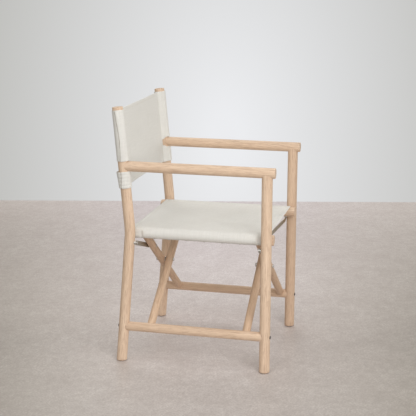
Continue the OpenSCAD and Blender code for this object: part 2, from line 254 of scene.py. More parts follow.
def make_canvas(name, base, shade, pitch=0.0013):
    """Plain-weave cotton canvas. "g" holds the place along the warp and the weft in metres."""
    n = Nodes(name)
    g = n.attr("g")
    u, v, w = n.split(g)
    k = pi / pitch
    wob = n.noise(n.scaled(g, (260, 260, 1)), 1.0, 2.0)
    uu = n.math("MULTIPLY", n.math("ADD", u, n.math("MULTIPLY", wob, 0.0004)), k)
    vv = n.math("MULTIPLY", n.math("ADD", v, n.math("MULTIPLY", wob, 0.0004)), k)
    su, sv = n.math("SINE", uu), n.math("SINE", vv)
    ridge_u, ridge_v = n.math("ABSOLUTE", su), n.math("ABSOLUTE", sv)
    cell = n.math("MULTIPLY", n.math("COSINE", uu), n.math("COSINE", vv))
    over = n.span(cell, -0.35, 0.35)
    under = n.math("SUBTRACT", 1.0, over)
    weave = n.math("ADD", n.math("MULTIPLY", ridge_u, over), n.math("MULTIPLY", ridge_v, under))
    slub_u = n.noise(n.scaled(g, (720, 26, 1)), 1.0, 2.0)
    slub_v = n.noise(n.scaled(g, (26, 720, 1)), 1.0, 2.0)
    slub = n.math("ADD", n.math("MULTIPLY", slub_u, over), n.math("MULTIPLY", slub_v, under))
    cloud = n.noise(n.scaled(g, (9, 9, 1)), 1.0, 3.0)
    fleck = n.span(n.noise(n.scaled(g, (900, 260, 1)), 1.0, 1.0), 0.70, 0.78)
    fuzz = n.noise(n.scaled(g, (2600, 2600, 1)), 1.0, 2.0)
    thick_u = n.noise(n.scaled(g, (330, 15, 1)), 1.0, 2.0)
    thick_v = n.noise(n.scaled(g, (15, 330, 1)), 1.0, 2.0)
    thick = n.math("ADD", thick_u, thick_v)
    c = n.mix(n.span(slub, 0.3, 0.72, 0.0, 0.55), base, shade)
    c = n.mix(n.span(thick, 0.85, 1.25, 0.0, 0.55), c, tuple(s * 0.93 for s in shade))
    c = n.mix(n.span(cloud, 0.35, 0.7, 0.0, 0.30), c, shade)
    c = n.mix(n.math("MULTIPLY", n.span(weave, 0.0, 0.75, 1.0, 0.0), 0.45), c, tuple(s * 0.80 for s in shade))
    c = n.mix(n.math("MULTIPLY", fleck, 0.28), c, (0.46, 0.38, 0.27))
    # painted shade: the canvas is darkened where a point attribute marks a seam, fold or stitch groove
    c = n.mix(n.math("MULTIPLY", n.attr("painted_crease_shade", "Fac"), 0.55), c, (0.34, 0.29, 0.23))
    height = n.math("ADD", n.math("ADD", weave, n.math("MULTIPLY", slub, 0.7)), n.math("MULTIPLY", fuzz, 0.25))
    rough = n.span(slub, 0.3, 0.7, 0.86, 0.96)
    return n.finish(color=c, rough=rough, normal=n.bump(height, 0.5, 0.00028), spec=0.15,
                    sheen=0.15, sheen_rough=0.6, sheen_tint=(1.0, 0.98, 0.94))


def make_metal(name, base, dark, rough_lo, rough_hi, metal=1.0, brush=(30, 900, 900)):
    n = Nodes(name)
    g = n.attr("g")
    brushed = n.noise(n.scaled(g, brush), 1.0, 2.0)
    spots = n.noise(n.scaled(g, (120, 120, 120)), 1.0, 3.0)
    wear = n.span(n.noise(n.scaled(g, (420, 420, 420)), 1.0, 3.0), 0.5, 0.75)
    c = n.mix(n.span(brushed, 0.3, 0.7, 0.0, 0.5), base, dark)
    c = n.mix(n.span(spots, 0.4, 0.75, 0.0, 0.35), c, dark)
    rough = n.math("ADD", n.span(brushed, 0.3, 0.7, rough_lo, rough_hi), n.math("MULTIPLY", wear, 0.08))
    return n.finish(color=c, rough=rough, metal=metal, normal=n.bump(brushed, 0.12, 0.0001), spec=0.5)


def make_plastic(name, base, light):
    n = Nodes(name)
    g = n.attr("g")
    a = n.noise(n.scaled(g, (700, 700, 700)), 1.0, 2.0)
    b = n.noise(n.scaled(g, (90, 90, 90)), 1.0, 3.0)
    c = n.mix(n.span(b, 0.35, 0.7, 0.0, 0.6), base, light)
    return n.finish(color=c, rough=n.span(b, 0.3, 0.7, 0.55, 0.75), normal=n.bump(a, 0.25, 0.0001), spec=0.4)


def make_thread(name, base, shade):
    n = Nodes(name)
    g = n.attr("g")
    a = n.noise(n.scaled(g, (900, 900, 900)), 1.0, 2.0)
    return n.finish(color=n.mix(n.span(a, 0.3, 0.7), base, shade), rough=0.85, normal=n.bump(a, 0.3, 0.0002), spec=0.2)


OAK = make_oak("oak_oiled", (0.880, 0.690, 0.522), (0.680, 0.492, 0.350), (0.500, 0.335, 0.232), (0.28, 0.17, 0.105))
# painted shade: a darker, more saturated copy of the oak for the bars under the seat, standing in for the seat's shade
# and warm bounce light
OAK_UNDER_PAINTED_SHADE = make_oak("oak_oiled_bars_painted_shade", (0.850, 0.650, 0.474), (0.665, 0.472, 0.328), (0.490, 0.322, 0.214), (0.28, 0.17, 0.10))
CANVAS = make_canvas("canvas_ecru", (0.818, 0.808, 0.776), (0.750, 0.737, 0.698))
STEEL = make_metal("steel_bright", (0.74, 0.73, 0.71), (0.60, 0.59, 0.57), 0.22, 0.34, brush=(900, 900, 900))
LINK_STEEL = make_metal("steel_links", (0.56, 0.52, 0.45), (0.44, 0.41, 0.35), 0.40, 0.52)
BOLT_STEEL = make_metal("steel_dark", (0.16, 0.15, 0.14), (0.09, 0.085, 0.08), 0.36, 0.5, brush=(900, 900, 900))
GLIDE = make_plastic("glide_dark", (0.030, 0.028, 0.026), (0.055, 0.052, 0.048))
THREAD = make_thread("thread_ecru", (0.80, 0.77, 0.69), (0.70, 0.66, 0.58))


# ------------------------------------------------------------------- mesh tools
def new_object(name, verts, faces, material, g=None, tone_and_shade=None, sharp=40.0):
    """An object from points in millimetres. g is a point attribute in metres."""
    verts = np.asarray(verts, float) * M
    me = bpy.data.meshes.new(name)
    me.from_pydata(verts.tolist(), [], faces)
    bm = bmesh.new()
    bm.from_mesh(me)
    bmesh.ops.recalc_face_normals(bm, faces=bm.faces)
    bm.to_mesh(me)
    bm.free()
    me.update()
    if g is None:
        g = verts
    set_g(me, g, tone_and_shade or 0.0)
    me.shade_smooth()
    me.set_sharp_from_angle(angle=math.radians(sharp))
    me.materials.append(material)
    o = bpy.data.objects.new(name, me)
    bpy.context.scene.collection.objects.link(o)
    return o


def set_g(me, g, tone_and_shade):
    for nm in ("g", "tone_and_shade"):
        if nm in me.attributes:
            me.attributes.remove(me.attributes[nm])
    a = me.attributes.new("g", "FLOAT_VECTOR", "POINT")
    a.data.foreach_set("vector", np.asarray(g, np.float32).ravel())
    t = me.attributes.new("tone_and_shade", "FLOAT", "POINT")
    t.data.foreach_set("value", np.full(len(me.vertices), tone_and_shade, np.float32))


def loft(rings, tip0=None, tip1=None):
    """Faces for a stack of closed rings; a tip is a closing point, or None to leave that end as one face."""
    n, s = len(rings), len(rings[0])
    verts = np.concatenate(rings)
    k = np.arange(s)
    k2 = (k + 1) % s
    faces = []
    for i in range(n - 1):
        a, b = i * s, (i + 1) * s
        faces += np.stack([a + k, a + k2, b + k2, b + k], 1).tolist()
    extra = []
    for tip, base in ((tip0, 0), (tip1, (n - 1) * s)):
        if tip is None:
            faces.append((base + k).tolist())
        else:
            c = len(verts) + len(extra)
            extra.append(tip)
            faces += [[base + int(p), base + int(q), c] for p, q in zip(k, k2)]
    if extra:
        verts = np.concatenate([verts, np.array(extra, float)])
    return verts, faces


def rod(name, path, r, s0, s1, material, body, e0=1.5, e1=1.5, step=10.0, seg=80, offset=(40, 15, 0),
        tone_and_shade=0.0, cuts=None, nodes=(), slot="oak", thetas=None, extra_s=(), local=None, sharp=40.0):
    """A turned rod along path(s). s0 and s1 give its two end surfaces over the section, e0 and e1 the eased edges.
    r is its radius, or a function of the angle and of s."""
    th = np.linspace(0, 2 * pi, seg, endpoint=False) if thetas is None else np.asarray(thetas, float)
    ct, st = np.cos(th), np.sin(th)
    rad = (lambda t, s: np.full_like(t, r)) if not callable(r) else r

    def point(rho, s):
        c, e1v, e2v = path(s)
        return c + (rho * ct)[:, None] * e1v + (rho * st)[:, None] * e2v

    def coords(rho, s):
        return np.stack([rho * ct, rho * st, s], 1)

    rings, g = [], []

    def add(rho, s):
        s = np.broadcast_to(np.asarray(s, float), th.shape)
        rings.append(point(rho, s))
        g.append(coords(rho, s))

    def end(f, e, sign):
        out = []
        base = rad(th, f(0 * ct, 0 * st))
        for q in (0.25, 0.55, 0.8):
            rho = (base - e) * q
            out.append((rho, f(rho * ct, rho * st)))
        arcs = (0, 0.5 * pi) if e <= 0.5 else np.linspace(0, pi / 2, 5)
        for p in arcs:
            rho = base - e + e * math.sin(p)
            out.append((rho, f(rho * ct, rho * st) + sign * e * (1 - math.cos(p))))
        return out

    a, b = end(s0, e0, 1), end(s1, e1, -1)
    for rho, s in a:
        add(rho, s)
    sa, sb = a[-1][1], b[-1][1]
    length = float(np.mean(sb - sa))
    fr = np.linspace(0, 1, max(3, int(length / step) + 1))[1:-1]
    inner = [(1 - f) * sa + f * sb for f in fr]
    if len(extra_s):
        lim0, lim1 = float(sa.max()), float(sb.min())
        vals = sorted(set([float(v[0]) for v in inner] + [float(v) for v in extra_s if lim0 + 0.3 < v < lim1 - 0.3]))
        inner = [np.full_like(th, v) for v in vals]
    for s in inner:
        add(rad(th, s), s)
    for rho, s in reversed(b):
        add(rho, s)
    zero = np.zeros(1)
    t0, t1 = float(np.ravel(s0(zero, zero))[0]), float(np.ravel(s1(zero, zero))[0])
    tip0, tip1 = path(np.array([t0]))[0][0], path(np.array([t1]))[0][0]
    verts, faces = loft(rings, tip0, tip1)
    gg = np.concatenate(g + [np.array([[0, 0, t0], [0, 0, t1]], float)])
    off = np.array(offset, float)
    o = new_object(name, verts, faces, material, (gg + off) * M, tone_and_shade, sharp)
    for (cy0, cy1, cx, cz, cr) in cuts or ():
        carve(o, cx, cz, cr, cy0, cy1)
    if cuts:
        co = np.array([v.co for v in o.data.vertices], float) / M
        set_g(o.data, (local(co) + off) * M, tone_and_shade)
        o.data.set_sharp_from_angle(angle=math.radians(sharp))
    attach(o, body)
    if nodes:
        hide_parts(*nodes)
    return o


def carve(o, x, z, r, y0, y1):
    """Takes a round hole along Y out of o."""
    t = np.linspace(0, 2 * pi, 72, endpoint=False)
    rings = [np.stack([x + r * np.cos(t), np.full_like(t, y), z + r * np.sin(t)], 1) for y in (y0, y1)]
    v, f = loft(rings)
    cutter = new_object("cutter", v, f, o.data.materials[0])
    m = o.modifiers.new("hole", "BOOLEAN")
    m.operation, m.solver, m.object = "DIFFERENCE", "EXACT", cutter
    bpy.context.view_layer.update()
    me = bpy.data.meshes.new_from_object(o.evaluated_get(bpy.context.evaluated_depsgraph_get()))
    o.modifiers.clear()
    old = o.data
    o.data = me
    me.name = old.name
    bpy.data.meshes.remove(old)
    bpy.data.objects.remove(cutter)


def straight(p0, d, e1v):
    """A straight path from p0 along d, with e1v across it."""
    p0, d, e1v = (np.array(v, float) for v in (p0, d, e1v))
    d = d / np.linalg.norm(d)
    e1v = e1v - (e1v @ d) * d
    e1v = e1v / np.linalg.norm(e1v)
    e2v = np.cross(d, e1v)

    def path(s):
        s = np.asarray(s, float)
        return p0 + s[:, None] * d, np.broadcast_to(e1v, (len(s), 3)), np.broadcast_to(e2v, (len(s), 3))

    path.local = lambda p: np.stack([(p - p0) @ e1v, (p - p0) @ e2v, (p - p0) @ d], 1)
    return path


def flat_end(s):
    return lambda a, b: np.full_like(np.asarray(a, float), s)


def lathe(name, origin, axis, profile, material, body, seg=48, nodes=(), slot="steel", hexes=None, sharp=35.0):
    """Turned hardware: profile is (radius, distance along the axis), from one closed end to the other.
    hexes marks the profile points that follow a hexagon instead of a circle."""
    v, f = lathe_mesh(origin, axis, profile, seg, hexes)
    o = new_object(name, v, f, material, None, 0.0, sharp)
    return place(o, body, nodes)


def place(o, body, nodes=()):
    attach(o, body)
    if nodes:
        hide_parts(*nodes)
    return o


def lathe_mesh(origin, axis, profile, seg=48, hexes=None, turn=0.0):
    axis = np.array(axis, float) / np.linalg.norm(axis)
    ref = np.array([0, 0, 1.0]) if abs(axis[2]) < 0.9 else np.array([1.0, 0, 0])
    a = np.cross(ref, axis)
    a /= np.linalg.norm(a)
    b = np.cross(axis, a)
    t = np.linspace(0, 2 * pi, seg, endpoint=False) + turn
    hx = 1.0 / np.cos(((t % (pi / 3)) - pi / 6))
    rings = []
    for i, (r, d) in enumerate(profile):
        k = hx * math.cos(pi / 6) if hexes and i in hexes else 1.0
        rr = r * k * np.ones_like(t)
        rings.append(np.array(origin) + d * axis + (rr * np.cos(t))[:, None] * a + (rr * np.sin(t))[:, None] * b)
    return loft(rings, np.array(origin) + profile[0][1] * axis, np.array(origin) + profile[-1][1] * axis)


def merged(parts):
    """Several (verts, faces) as one."""
    vs, fs, k = [], [], 0
    for v, f in parts:
        vs.append(v)
        fs += [[i + k for i in q] for q in f]
        k += len(v)
    return np.concatenate(vs), fs


def button(r, h, sock=0.0, shank=0.0, shank_r=0.0):
    """Domed screw head with a hexagon socket, standing on distance 0 and rising to h; its shank goes the other way."""
    p, hexes = [], set()
    if shank:
        p += [(shank_r * 0.8, -shank), (shank_r, -shank + 0.6), (shank_r, 0.0)]
    else:
        p += [(r * 0.5, 0.0)]
    p += [(r * 0.98, 0.0), (r, 0.25)]
    for q in np.linspace(0.15, 1.0, 6):
        p.append((r - (r * 0.42) * (1 - math.cos(q * pi / 2)), 0.25 + (h - 0.25) * math.sin(q * pi / 2)))
    if sock:
        n = len(p)
        p += [(sock * 1.12, h), (sock, h - 0.25), (sock, h - h * 0.55), (sock * 0.4, h - h * 0.6)]
        hexes = {n, n + 1, n + 2}
    else:
        p += [(r * 0.3, h + 0.05)]
    return p, hexes


# ---------------------------------------------------------------- side frames
def post_path(sx):
    def path(s):
        s = np.asarray(s, float)
        y, z, ang = np.empty_like(s), np.empty_like(s), np.empty_like(s)
        a = s <= L1
        c = s >= L1 + L2
        b = ~(a | c)
        y[a], z[a], ang[a] = FOOT_Y - s[a] * math.sin(LOW), s[a] * math.cos(LOW), -LOW
        q = s[c] - L1 - L2
        y[c], z[c], ang[c] = S2[0] + q * math.sin(UP), S2[1] + q * math.cos(UP), UP
        w = (s[b] - L1) / BEND_R - LOW
        y[b], z[b], ang[b] = BC[0] - BEND_R * np.cos(w), BC[1] + BEND_R * np.sin(w), w
        centre = np.stack([np.full_like(y, sx * X), y, z], 1)
        e1v = np.broadcast_to(np.array([1.0, 0, 0]), centre.shape)
        e2v = np.stack([np.zeros_like(y), np.cos(ang), -np.sin(ang)], 1)
        return centre, e1v, e2v

    def local(p):
        y, z = p[:, 1], p[:, 2]
        ang = np.arctan2(z - BC[1], BC[0] - y)
        ang = np.clip(ang, -LOW, UP)
        cy, cz = BC[0] - BEND_R * np.cos(ang), BC[1] + BEND_R * np.sin(ang)
        ty, tz = np.sin(ang), np.cos(ang)
        along = (y - cy) * ty + (z - cz) * tz
        s = L1 + (ang + LOW) * BEND_R + along
        across = (y - cy) * np.cos(ang) - (z - cz) * np.sin(ang)
        return np.stack([p[:, 0] - sx * X, across, s], 1)

    path.local = local
    return path


# per-piece darkening of the oak: mostly a random tone for each piece, but the larger values on the far stretcher and
# the bars under the seat are painted shade
TONES_AND_PAINTED_SHADE = {"right_front_leg": (0.02, (52, 12, 130)), "right_rear_post": (-0.03, (38, -30, 910)),
         "left_front_leg": (0.28, (-44, 26, 2210)), "left_rear_post": (0.06, (-30, -42, 3100)),
         "right_armrest": (0.00, (25, 48, 4200)), "left_armrest": (0.10, (-33, 40, 5100)),
         "right_stretcher": (0.05, (36, 33, 6300)), "left_stretcher": (0.42, (-41, 20, 7100)),
         "right_seat_rail": (0.04, (30, 30, 8200)), "left_seat_rail": (0.06, (-34, 36, 9100)),
         "inner_rear_bar": (0.10, (28, 35, 10300)), "inner_front_bar": (0.26, (39, -22, 11200)),
         "outer_rear_bar": (0.50, (-31, 29, 12100)), "outer_front_bar": (0.36, (-37, -27, 13400))}


def wood(node, path, r, s0, s1, body, material=OAK, also=(), **kw):
    tone_and_shade, off = TONES_AND_PAINTED_SHADE[node]
    return rod(node + "_oak", path, r, s0, s1, material, body, offset=off, tone_and_shade=tone_and_shade, nodes=(node, *also),
               local=path.local, **kw)


for side, sx in (("right", -1.0), ("left", 1.0)):
    body = side + "_side_frame"

    # front leg, coped to the underside of the arm
    path = straight((sx * X, LEG_Y, 0), (0, 0, 1), (1, 0, 0))
    wood(side + "_front_leg", path, LR, flat_end(BOT),
         lambda a, b: ARM_Z - np.sqrt(np.maximum(AR * AR - a * a, 25.0)), body,
         e0=2.6, e1=0.25, also=(side + "_arm_dowels",),
         cuts=[(SOCK_F, LEG_Y + 40, sx * X, STR_Z, SR + 0.3)])

    # rear post
    path = post_path(sx)
    wood(side + "_rear_post", path, LR,
         lambda a, b: (BOT - b * math.sin(LOW)) / math.cos(LOW), flat_end(L1 + L2 + L3), body,
         e0=2.6, e1=1.7, cuts=[(POST_STR_Y - 40, SOCK_R, sx * X, STR_Z, SR + 0.3)])

    # armrest, coped to the post
    path = straight((sx * X, ARM_Y0, ARM_Z), (0, 1, 0), (1, 0, 0))
    ey = path(np.zeros(1))[2][0][2]
    wood(side + "_armrest", path, AR, flat_end(0.0),
         lambda a, b, k=ey: post_y(ARM_Z + b * k) - np.sqrt(np.maximum(LR * LR - a * a, 4.0)) / math.cos(UP) - ARM_Y0,
         body, e0=1.9, e1=0.25)

    # glides under the two feet
    gl = [(5.0, 0.0), (10.8, 0.0), (11.6, 0.25), (12.0, 0.8), (12.0, 2.05), (8.0, 2.1)]
    v, f = merged([lathe_mesh((sx * X, y, 0), (0, 0, 1), gl, 56) for y in (LEG_Y, FOOT_Y)])
    place(new_object(side + "_foot_glides", v, f, GLIDE), body, (side + "_glides",))

    # heads of the two bolts that the stretcher turns on
    p, hx = button(6.0, 3.0, 2.1, 6.0, 4.0)
    v, f = merged([
        lathe_mesh((sx * X, LEG_Y - LR + 1.2, STR_Z), (0, -1, 0), p, 48, hx),
        lathe_mesh((sx * X, POST_STR_Y + LR - 1.2, STR_Z), (0, 1, 0), p, 48, hx, 0.3),
    ])
    place(new_object(side + "_stretcher_bolt_heads", v, f, BOLT_STEEL), body, (side + "_stretcher_bolts",))

    # link pins: a stepped boss on the post, a shouldered pin and a domed cap on the leg
    face = POST_LINK_Y - LR / math.cos(LOW)
    pr = [(3.4, PLATE_R - 2.2), (5.2, PLATE_R - 2.2), (5.8, PLATE_R - 2.0), (6.0, PLATE_R - 1.5), (6.0, PLATE_R - 0.5),
          (5.8, PLATE_R - 0.3), (3.0, PLATE_R - 0.3), (3.0, PLATE_R + 2.5), (7.0, PLATE_R + 2.5), (7.4, PLATE_R + 2.7),
          (7.5, PLATE_R + 3.1), (7.5, PLATE_R + 5.6), (7.2, PLATE_R + 6.0), (6.9, PLATE_R + 6.1), (6.9, face + 2.2),
          (3.0, face + 2.3), (3.0, POST_LINK_Y + 5.0), (1.5, POST_LINK_Y + 5.5)]
    pf = [(2.0, LEG_Y - 1.5), (3.0, LEG_Y - 1.0), (3.0, LEG_Y + LR - 1.3), (5.8, LEG_Y + LR - 1.3),
          (6.0, LEG_Y + LR - 1.0), (6.0, PLATE_F - 0.6), (5.7, PLATE_F - 0.3), (3.0, PLATE_F - 0.3),
          (3.0, PLATE_F + 2.5), (6.6, PLATE_F + 2.5), (7.0, PLATE_F + 2.8), (7.0, PLATE_F + 4.6), (6.7, PLATE_F + 5.6),
          (5.8, PLATE_F + 6.4), (4.2, PLATE_F + 6.9), (2.0, PLATE_F + 7.1)]
    v, f = merged([lathe_mesh((sx * X, 0, LINK_Z), (0, 1, 0), q, 56) for q in (pr, pf)])
    place(new_object(side + "_link_pivot_pins", v, f, STEEL, sharp=30), body, (side + "_link_pins",))


# ----------------------------------------------------------------- underframe
def d_section(sx):
    """Seat rail section: round, with its outer side flattened beside the leg and the post."""
    def depth(s):
        y = s + RAIL_Y0
        f = np.clip((-199 - y) / 9.0, 0, 1)
        r = np.clip((y - 168) / 9.0, 0, 1)
        k = np.maximum(f, r)
        k = k * k * (3 - 2 * k)
        return RR - (RR - FLAT) * k

    def rad(t, s):
        c = np.cos(t) * sx
        s = np.broadcast_to(np.asarray(s, float), t.shape)
        d = depth(s)
        return np.where(c > 0.02, np.minimum(RR, d / np.maximum(c, 0.02)), RR)

    return rad


corner = math.acos(FLAT / RR)
for side, sx, frame_body in (("right", -1.0, "outer_cross_frame"), ("left", 1.0, "inner_cross_frame")):
    path = straight((sx * RAIL_X, RAIL_Y0, RAIL_Z), (0, 1, 0), (1, 0, 0))
    mid = 0.0 if sx > 0 else pi
    th = np.sort(np.concatenate([np.linspace(0, 2 * pi, 72, endpoint=False),
                                 (mid + np.array([-corner - 0.012, -corner + 0.012, corner - 0.012, corner + 0.012])) % (2 * pi)]))
    keep = np.concatenate([[True], np.diff(th) > 0.006])
    ramps = np.concatenate([np.arange(-209, -198, 1.0), np.arange(167, 178.5, 1.0)]) - RAIL_Y0
    wood(side + "_seat_rail", path, d_section(sx), flat_end(0.0), flat_end(RAIL_Y1 - RAIL_Y0), frame_body,
         e0=1.4, e1=1.4, thetas=th[keep], extra_s=ramps, step=12)

    # the stretcher belongs to the bars that end on it
    str_body = "inner_cross_frame" if side == "right" else "outer_cross_frame"
    path = straight((sx * X, SOCK_F + 0.3, STR_Z), (0, 1, 0), (1, 0, 0))
    wood(side + "_stretcher", path, SR, flat_end(0.0), flat_end(SOCK_R - 0.3 - SOCK_F - 0.3), str_body,
         e0=0.6, e1=0.6, step=12, also=(("inner" if side == "right" else "outer") + "_frame_dowels",))

for node, sx, y, frame_body in (("inner_rear_bar", -1, IR_Y, "inner_cross_frame"), ("inner_front_bar", -1, IF_Y, "inner_cross_frame"),
                                ("outer_rear_bar", 1, OR_Y, "outer_cross_frame"), ("outer_front_bar", 1, OF_Y, "outer_cross_frame")):
    path = straight((sx * X, y, STR_Z), (-sx * math.cos(BAR_A), 0, math.sin(BAR_A)), (math.sin(BAR_A) * sx, 0, math.cos(BAR_A)))
    # the bars take the oak copy with painted shade
    wood(node, path, BR,
         lambda a, b: np.sqrt(SR * SR - a * a),
         lambda a, b: BAR_L - np.sqrt(RR * RR - a * a), frame_body, material=OAK_UNDER_PAINTED_SHADE,
         e0=0.25, e1=0.25, step=12, seg=72)

# crossing bolts, washers and nuts
p, hx = button(6.5, 3.3, 2.4, 2.0, 4.0)
v, f = merged([
    lathe_mesh((0, IR_Y - BR - 0.3, CROSS_Z), (0, -1, 0), p, 48, hx),
    lathe_mesh((0, OF_Y - BR, CROSS_Z), (0, -1, 0), p, 48, hx, 0.4),
    lathe_mesh((0, 0, CROSS_Z), (0, 1, 0), [(2.5, OR_Y + BR - 2), (4.0, OR_Y + BR - 1.5), (4.0, OR_Y + BR + 4.6), (3.2, OR_Y + BR + 5.4), (1.5, OR_Y + BR + 5.5)], 40),
    lathe_mesh((0, 0, CROSS_Z), (0, 1, 0), [(2.5, IF_Y + BR - 2), (4.0, IF_Y + BR - 1.5), (4.0, IF_Y + BR + 4.9), (3.2, IF_Y + BR + 5.6), (1.5, IF_Y + BR + 5.7)], 40),
    lathe_mesh((0, 0, CROSS_Z), (0, 1, 0), [(3.0, IR_Y + BR - 1.5), (4.0, IR_Y + BR - 1.0), (4.0, OR_Y - BR + 1.0), (3.0, OR_Y - BR + 1.5)], 40),
    lathe_mesh((0, 0, CROSS_Z), (0, 1, 0), [(3.0, OF_Y + BR - 1.5), (4.0, OF_Y + BR - 1.0), (4.0, IF_Y - BR + 1.0), (3.0, IF_Y - BR + 1.5)], 40),
])
place(new_object("crossing_pivot_bolts", v, f, STEEL), "outer_cross_frame", ("crossing_bolts",))


def ring_mesh(x, z, y0, y1, r_out, r_in, hexagon=False, seg=48, ease=0.25, turn=0.0):
    """A washer or a nut round a hole along Y."""
    t = np.linspace(0, 2 * pi, seg, endpoint=False)
    hx = math.cos(pi / 6) / np.cos((t % (pi / 3)) - pi / 6) if hexagon else np.ones_like(t)
    c = [(r_in, y0 + ease, 0), (r_in + ease, y0, 0)]
    if hexagon:
        c += [(r_out * 0.87, y0, 0), (r_out, y0 + 0.9, 2), (r_out, y1 - 0.9, 2), (r_out * 0.87, y1, 0)]
    else:
        c += [(r_out - ease, y0, 0), (r_out, y0 + ease, 0), (r_out, y1 - ease, 0), (r_out - ease, y1, 0)]
    c += [(r_in + ease, y1, 0), (r_in, y1 - ease, 0)]
    rings = []
    for r, y, kind in c:
        rr = np.minimum(r, r_out * hx) if kind == 0 and hexagon and r > r_in + ease else (r * hx if kind == 2 else r * np.ones_like(t))
        rings.append(np.stack([x + rr * np.cos(t + turn), np.full_like(t, y), z + rr * np.sin(t + turn)], 1))
    n, s = len(rings), seg
    k = np.arange(s)
    k2 = (k + 1) % s
    faces = []
    for i in range(n):
        a, b = i * s, ((i + 1) % n) * s
        faces += np.stack([a + k, a + k2, b + k2, b + k], 1).tolist()
    return np.concatenate(rings), faces


v, f = merged([ring_mesh(0, CROSS_Z, IR_Y + BR + 0.3, OR_Y - BR, 8.0, 4.1), ring_mesh(0, CROSS_Z, OF_Y + BR, IF_Y - BR - 0.3, 8.0, 4.1)])
place(new_object("crossing_spacer_washers", v, f, STEEL), "outer_cross_frame", ("crossing_washers",))
v, f = merged([ring_mesh(0, CROSS_Z, OR_Y + BR, OR_Y + BR + 4.5, 7.2, 4.02, True),
               ring_mesh(0, CROSS_Z, IF_Y + BR + 0.3, IF_Y + BR + 4.8, 7.2, 4.02, True, turn=0.35)])
place(new_object("crossing_lock_nuts", v, f, STEEL), "outer_cross_frame", ("crossing_nuts",))

# screws through the bars at the link pivots
for name, sx, yr, yf, frame_body in (("inner", 1, IR_Y, IF_Y, "inner_cross_frame"), ("outer", -1, OR_Y, OF_Y, "outer_cross_frame")):
    cap = [(3.2, 0.0), (5.3, 0.0), (5.5, 0.2), (5.4, 0.7), (4.8, 1.05), (3.4, 1.2), (2.6, 1.2), (2.4, 0.7), (1.0, 0.6)]
    v, f = merged([
        lathe_mesh((sx * QX, yr - BR, QZ), (0, -1, 0), [(2.5, -4.0), (3.0, -3.5), (3.0, 0.0)] + cap[1:], 48, {9, 10}),
        lathe_mesh((sx * QX, yf + BR, QZ), (0, 1, 0), [(2.5, -4.0), (3.0, -3.5), (3.0, 0.0)] + cap[1:], 48, {9, 10}),
        lathe_mesh((sx * QX, 0, QZ), (0, 1, 0), [(2.4, yr + BR - 4), (3.0, yr + BR - 3.5), (3.0, yr + BR - 0.1), (2.0, yr + BR - 0.1)], 40),
        lathe_mesh((sx * QX, 0, QZ), (0, 1, 0), [(2.0, yf - BR + 0.1), (3.0, yf - BR + 0.1), (3.0, yf - BR + 3.5), (2.4, yf - BR + 4)], 40),
    ])
    place(new_object(name + "_link_pivot_screws", v, f, STEEL), frame_body, (name + "_link_screws",))

# upholstery nails along the underside of the rails
TACK_Y = (-150, -90, -30, 30, 90, 140)
for side, sx, frame_body in (("right", -1, "outer_cross_frame"), ("left", 1, "inner_cross_frame")):
    q = [(0.7, 12.0), (0.9, 11.0), (0.9, 0.0), (3.3, -0.05), (3.5, -0.20), (3.3, -0.45), (2.6, -0.70), (1.4, -0.85)]
    v, f = merged([lathe_mesh((sx * 214.0, y, RAIL_Z - 19.0), (0, 0, 1), q, 32) for y in TACK_Y])
    place(new_object(side + "_seat_nails", v, f, STEEL), frame_body, (side + "_seat_tacks",))


# ---------------------------------------------------------------------- links
def link_mesh(sx, ya, yb):
    """Flat steel link with round ends, eased edges and, on the left, a joggle."""
    hw = 7.7
    xs = np.concatenate([-8 * np.cos(np.linspace(0.14, pi / 2, 12)), np.linspace(2, 22, 6), np.linspace(24, LINK_L - 24, 22),
                         np.linspace(LINK_L - 22, LINK_L - 2, 6), LINK_L + 8 * np.cos(np.linspace(pi / 2, 0.14, 12))])
    xs = np.unique(np.round(xs, 4))

    def off(x):
        t = np.clip((x - 22) / (LINK_L - 44), 0, 1)
        k = np.clip(t * 1.0, 0, 1)
        k = 3 * k ** 2 - 2 * k ** 3 if False else k
        e = 0.06
        k = np.where(k < e, k * k / (2 * e), np.where(k > 1 - e, 1 - e - (1 - k) ** 2 / (2 * e) + 0.0, k - e / 2)) / (1 - e)
        return ya + (yb - ya) * np.clip(k, 0, 1)

    rings = []
    c = 0.35
    for x in xs:
        if x < 0:
            h = math.sqrt(max(64 - x * x, 0.0))
        elif x > LINK_L:
            h = math.sqrt(max(64 - (x - LINK_L) ** 2, 0.0))
        else:
            near = min(x, LINK_L - x)
            h = hw + (8 - hw) * max(0.0, 1 - near / 6.0)
        y0 = float(off(np.array([x]))[0])
        ci = min(c, h * 0.5)
        prof = [(-h, c), (-h, 2.2 - c), (-h + ci, 2.2), (-h / 2, 2.2), (0, 2.2), (h / 2, 2.2), (h - ci, 2.2), (h, 2.2 - c), (h, c),
                (h - ci, 0), (h / 2, 0), (0, 0), (-h / 2, 0), (-h + ci, 0)]
        rings.append(np.array([[x, y0 + t, w] for w, t in prof]))
    v, f = loft(rings)
    return to_link(v, sx), f


def to_link(v, sx):
    """Link coordinates (along, Y, up) to the chair's."""
    ca, sa = math.cos(LINK_A), math.sin(LINK_A)
    x = v[:, 0] * ca + v[:, 2] * sa
    z = -v[:, 0] * sa + v[:, 2] * ca
    return np.stack([sx * (X - x), v[:, 1], LINK_Z + z], 1)


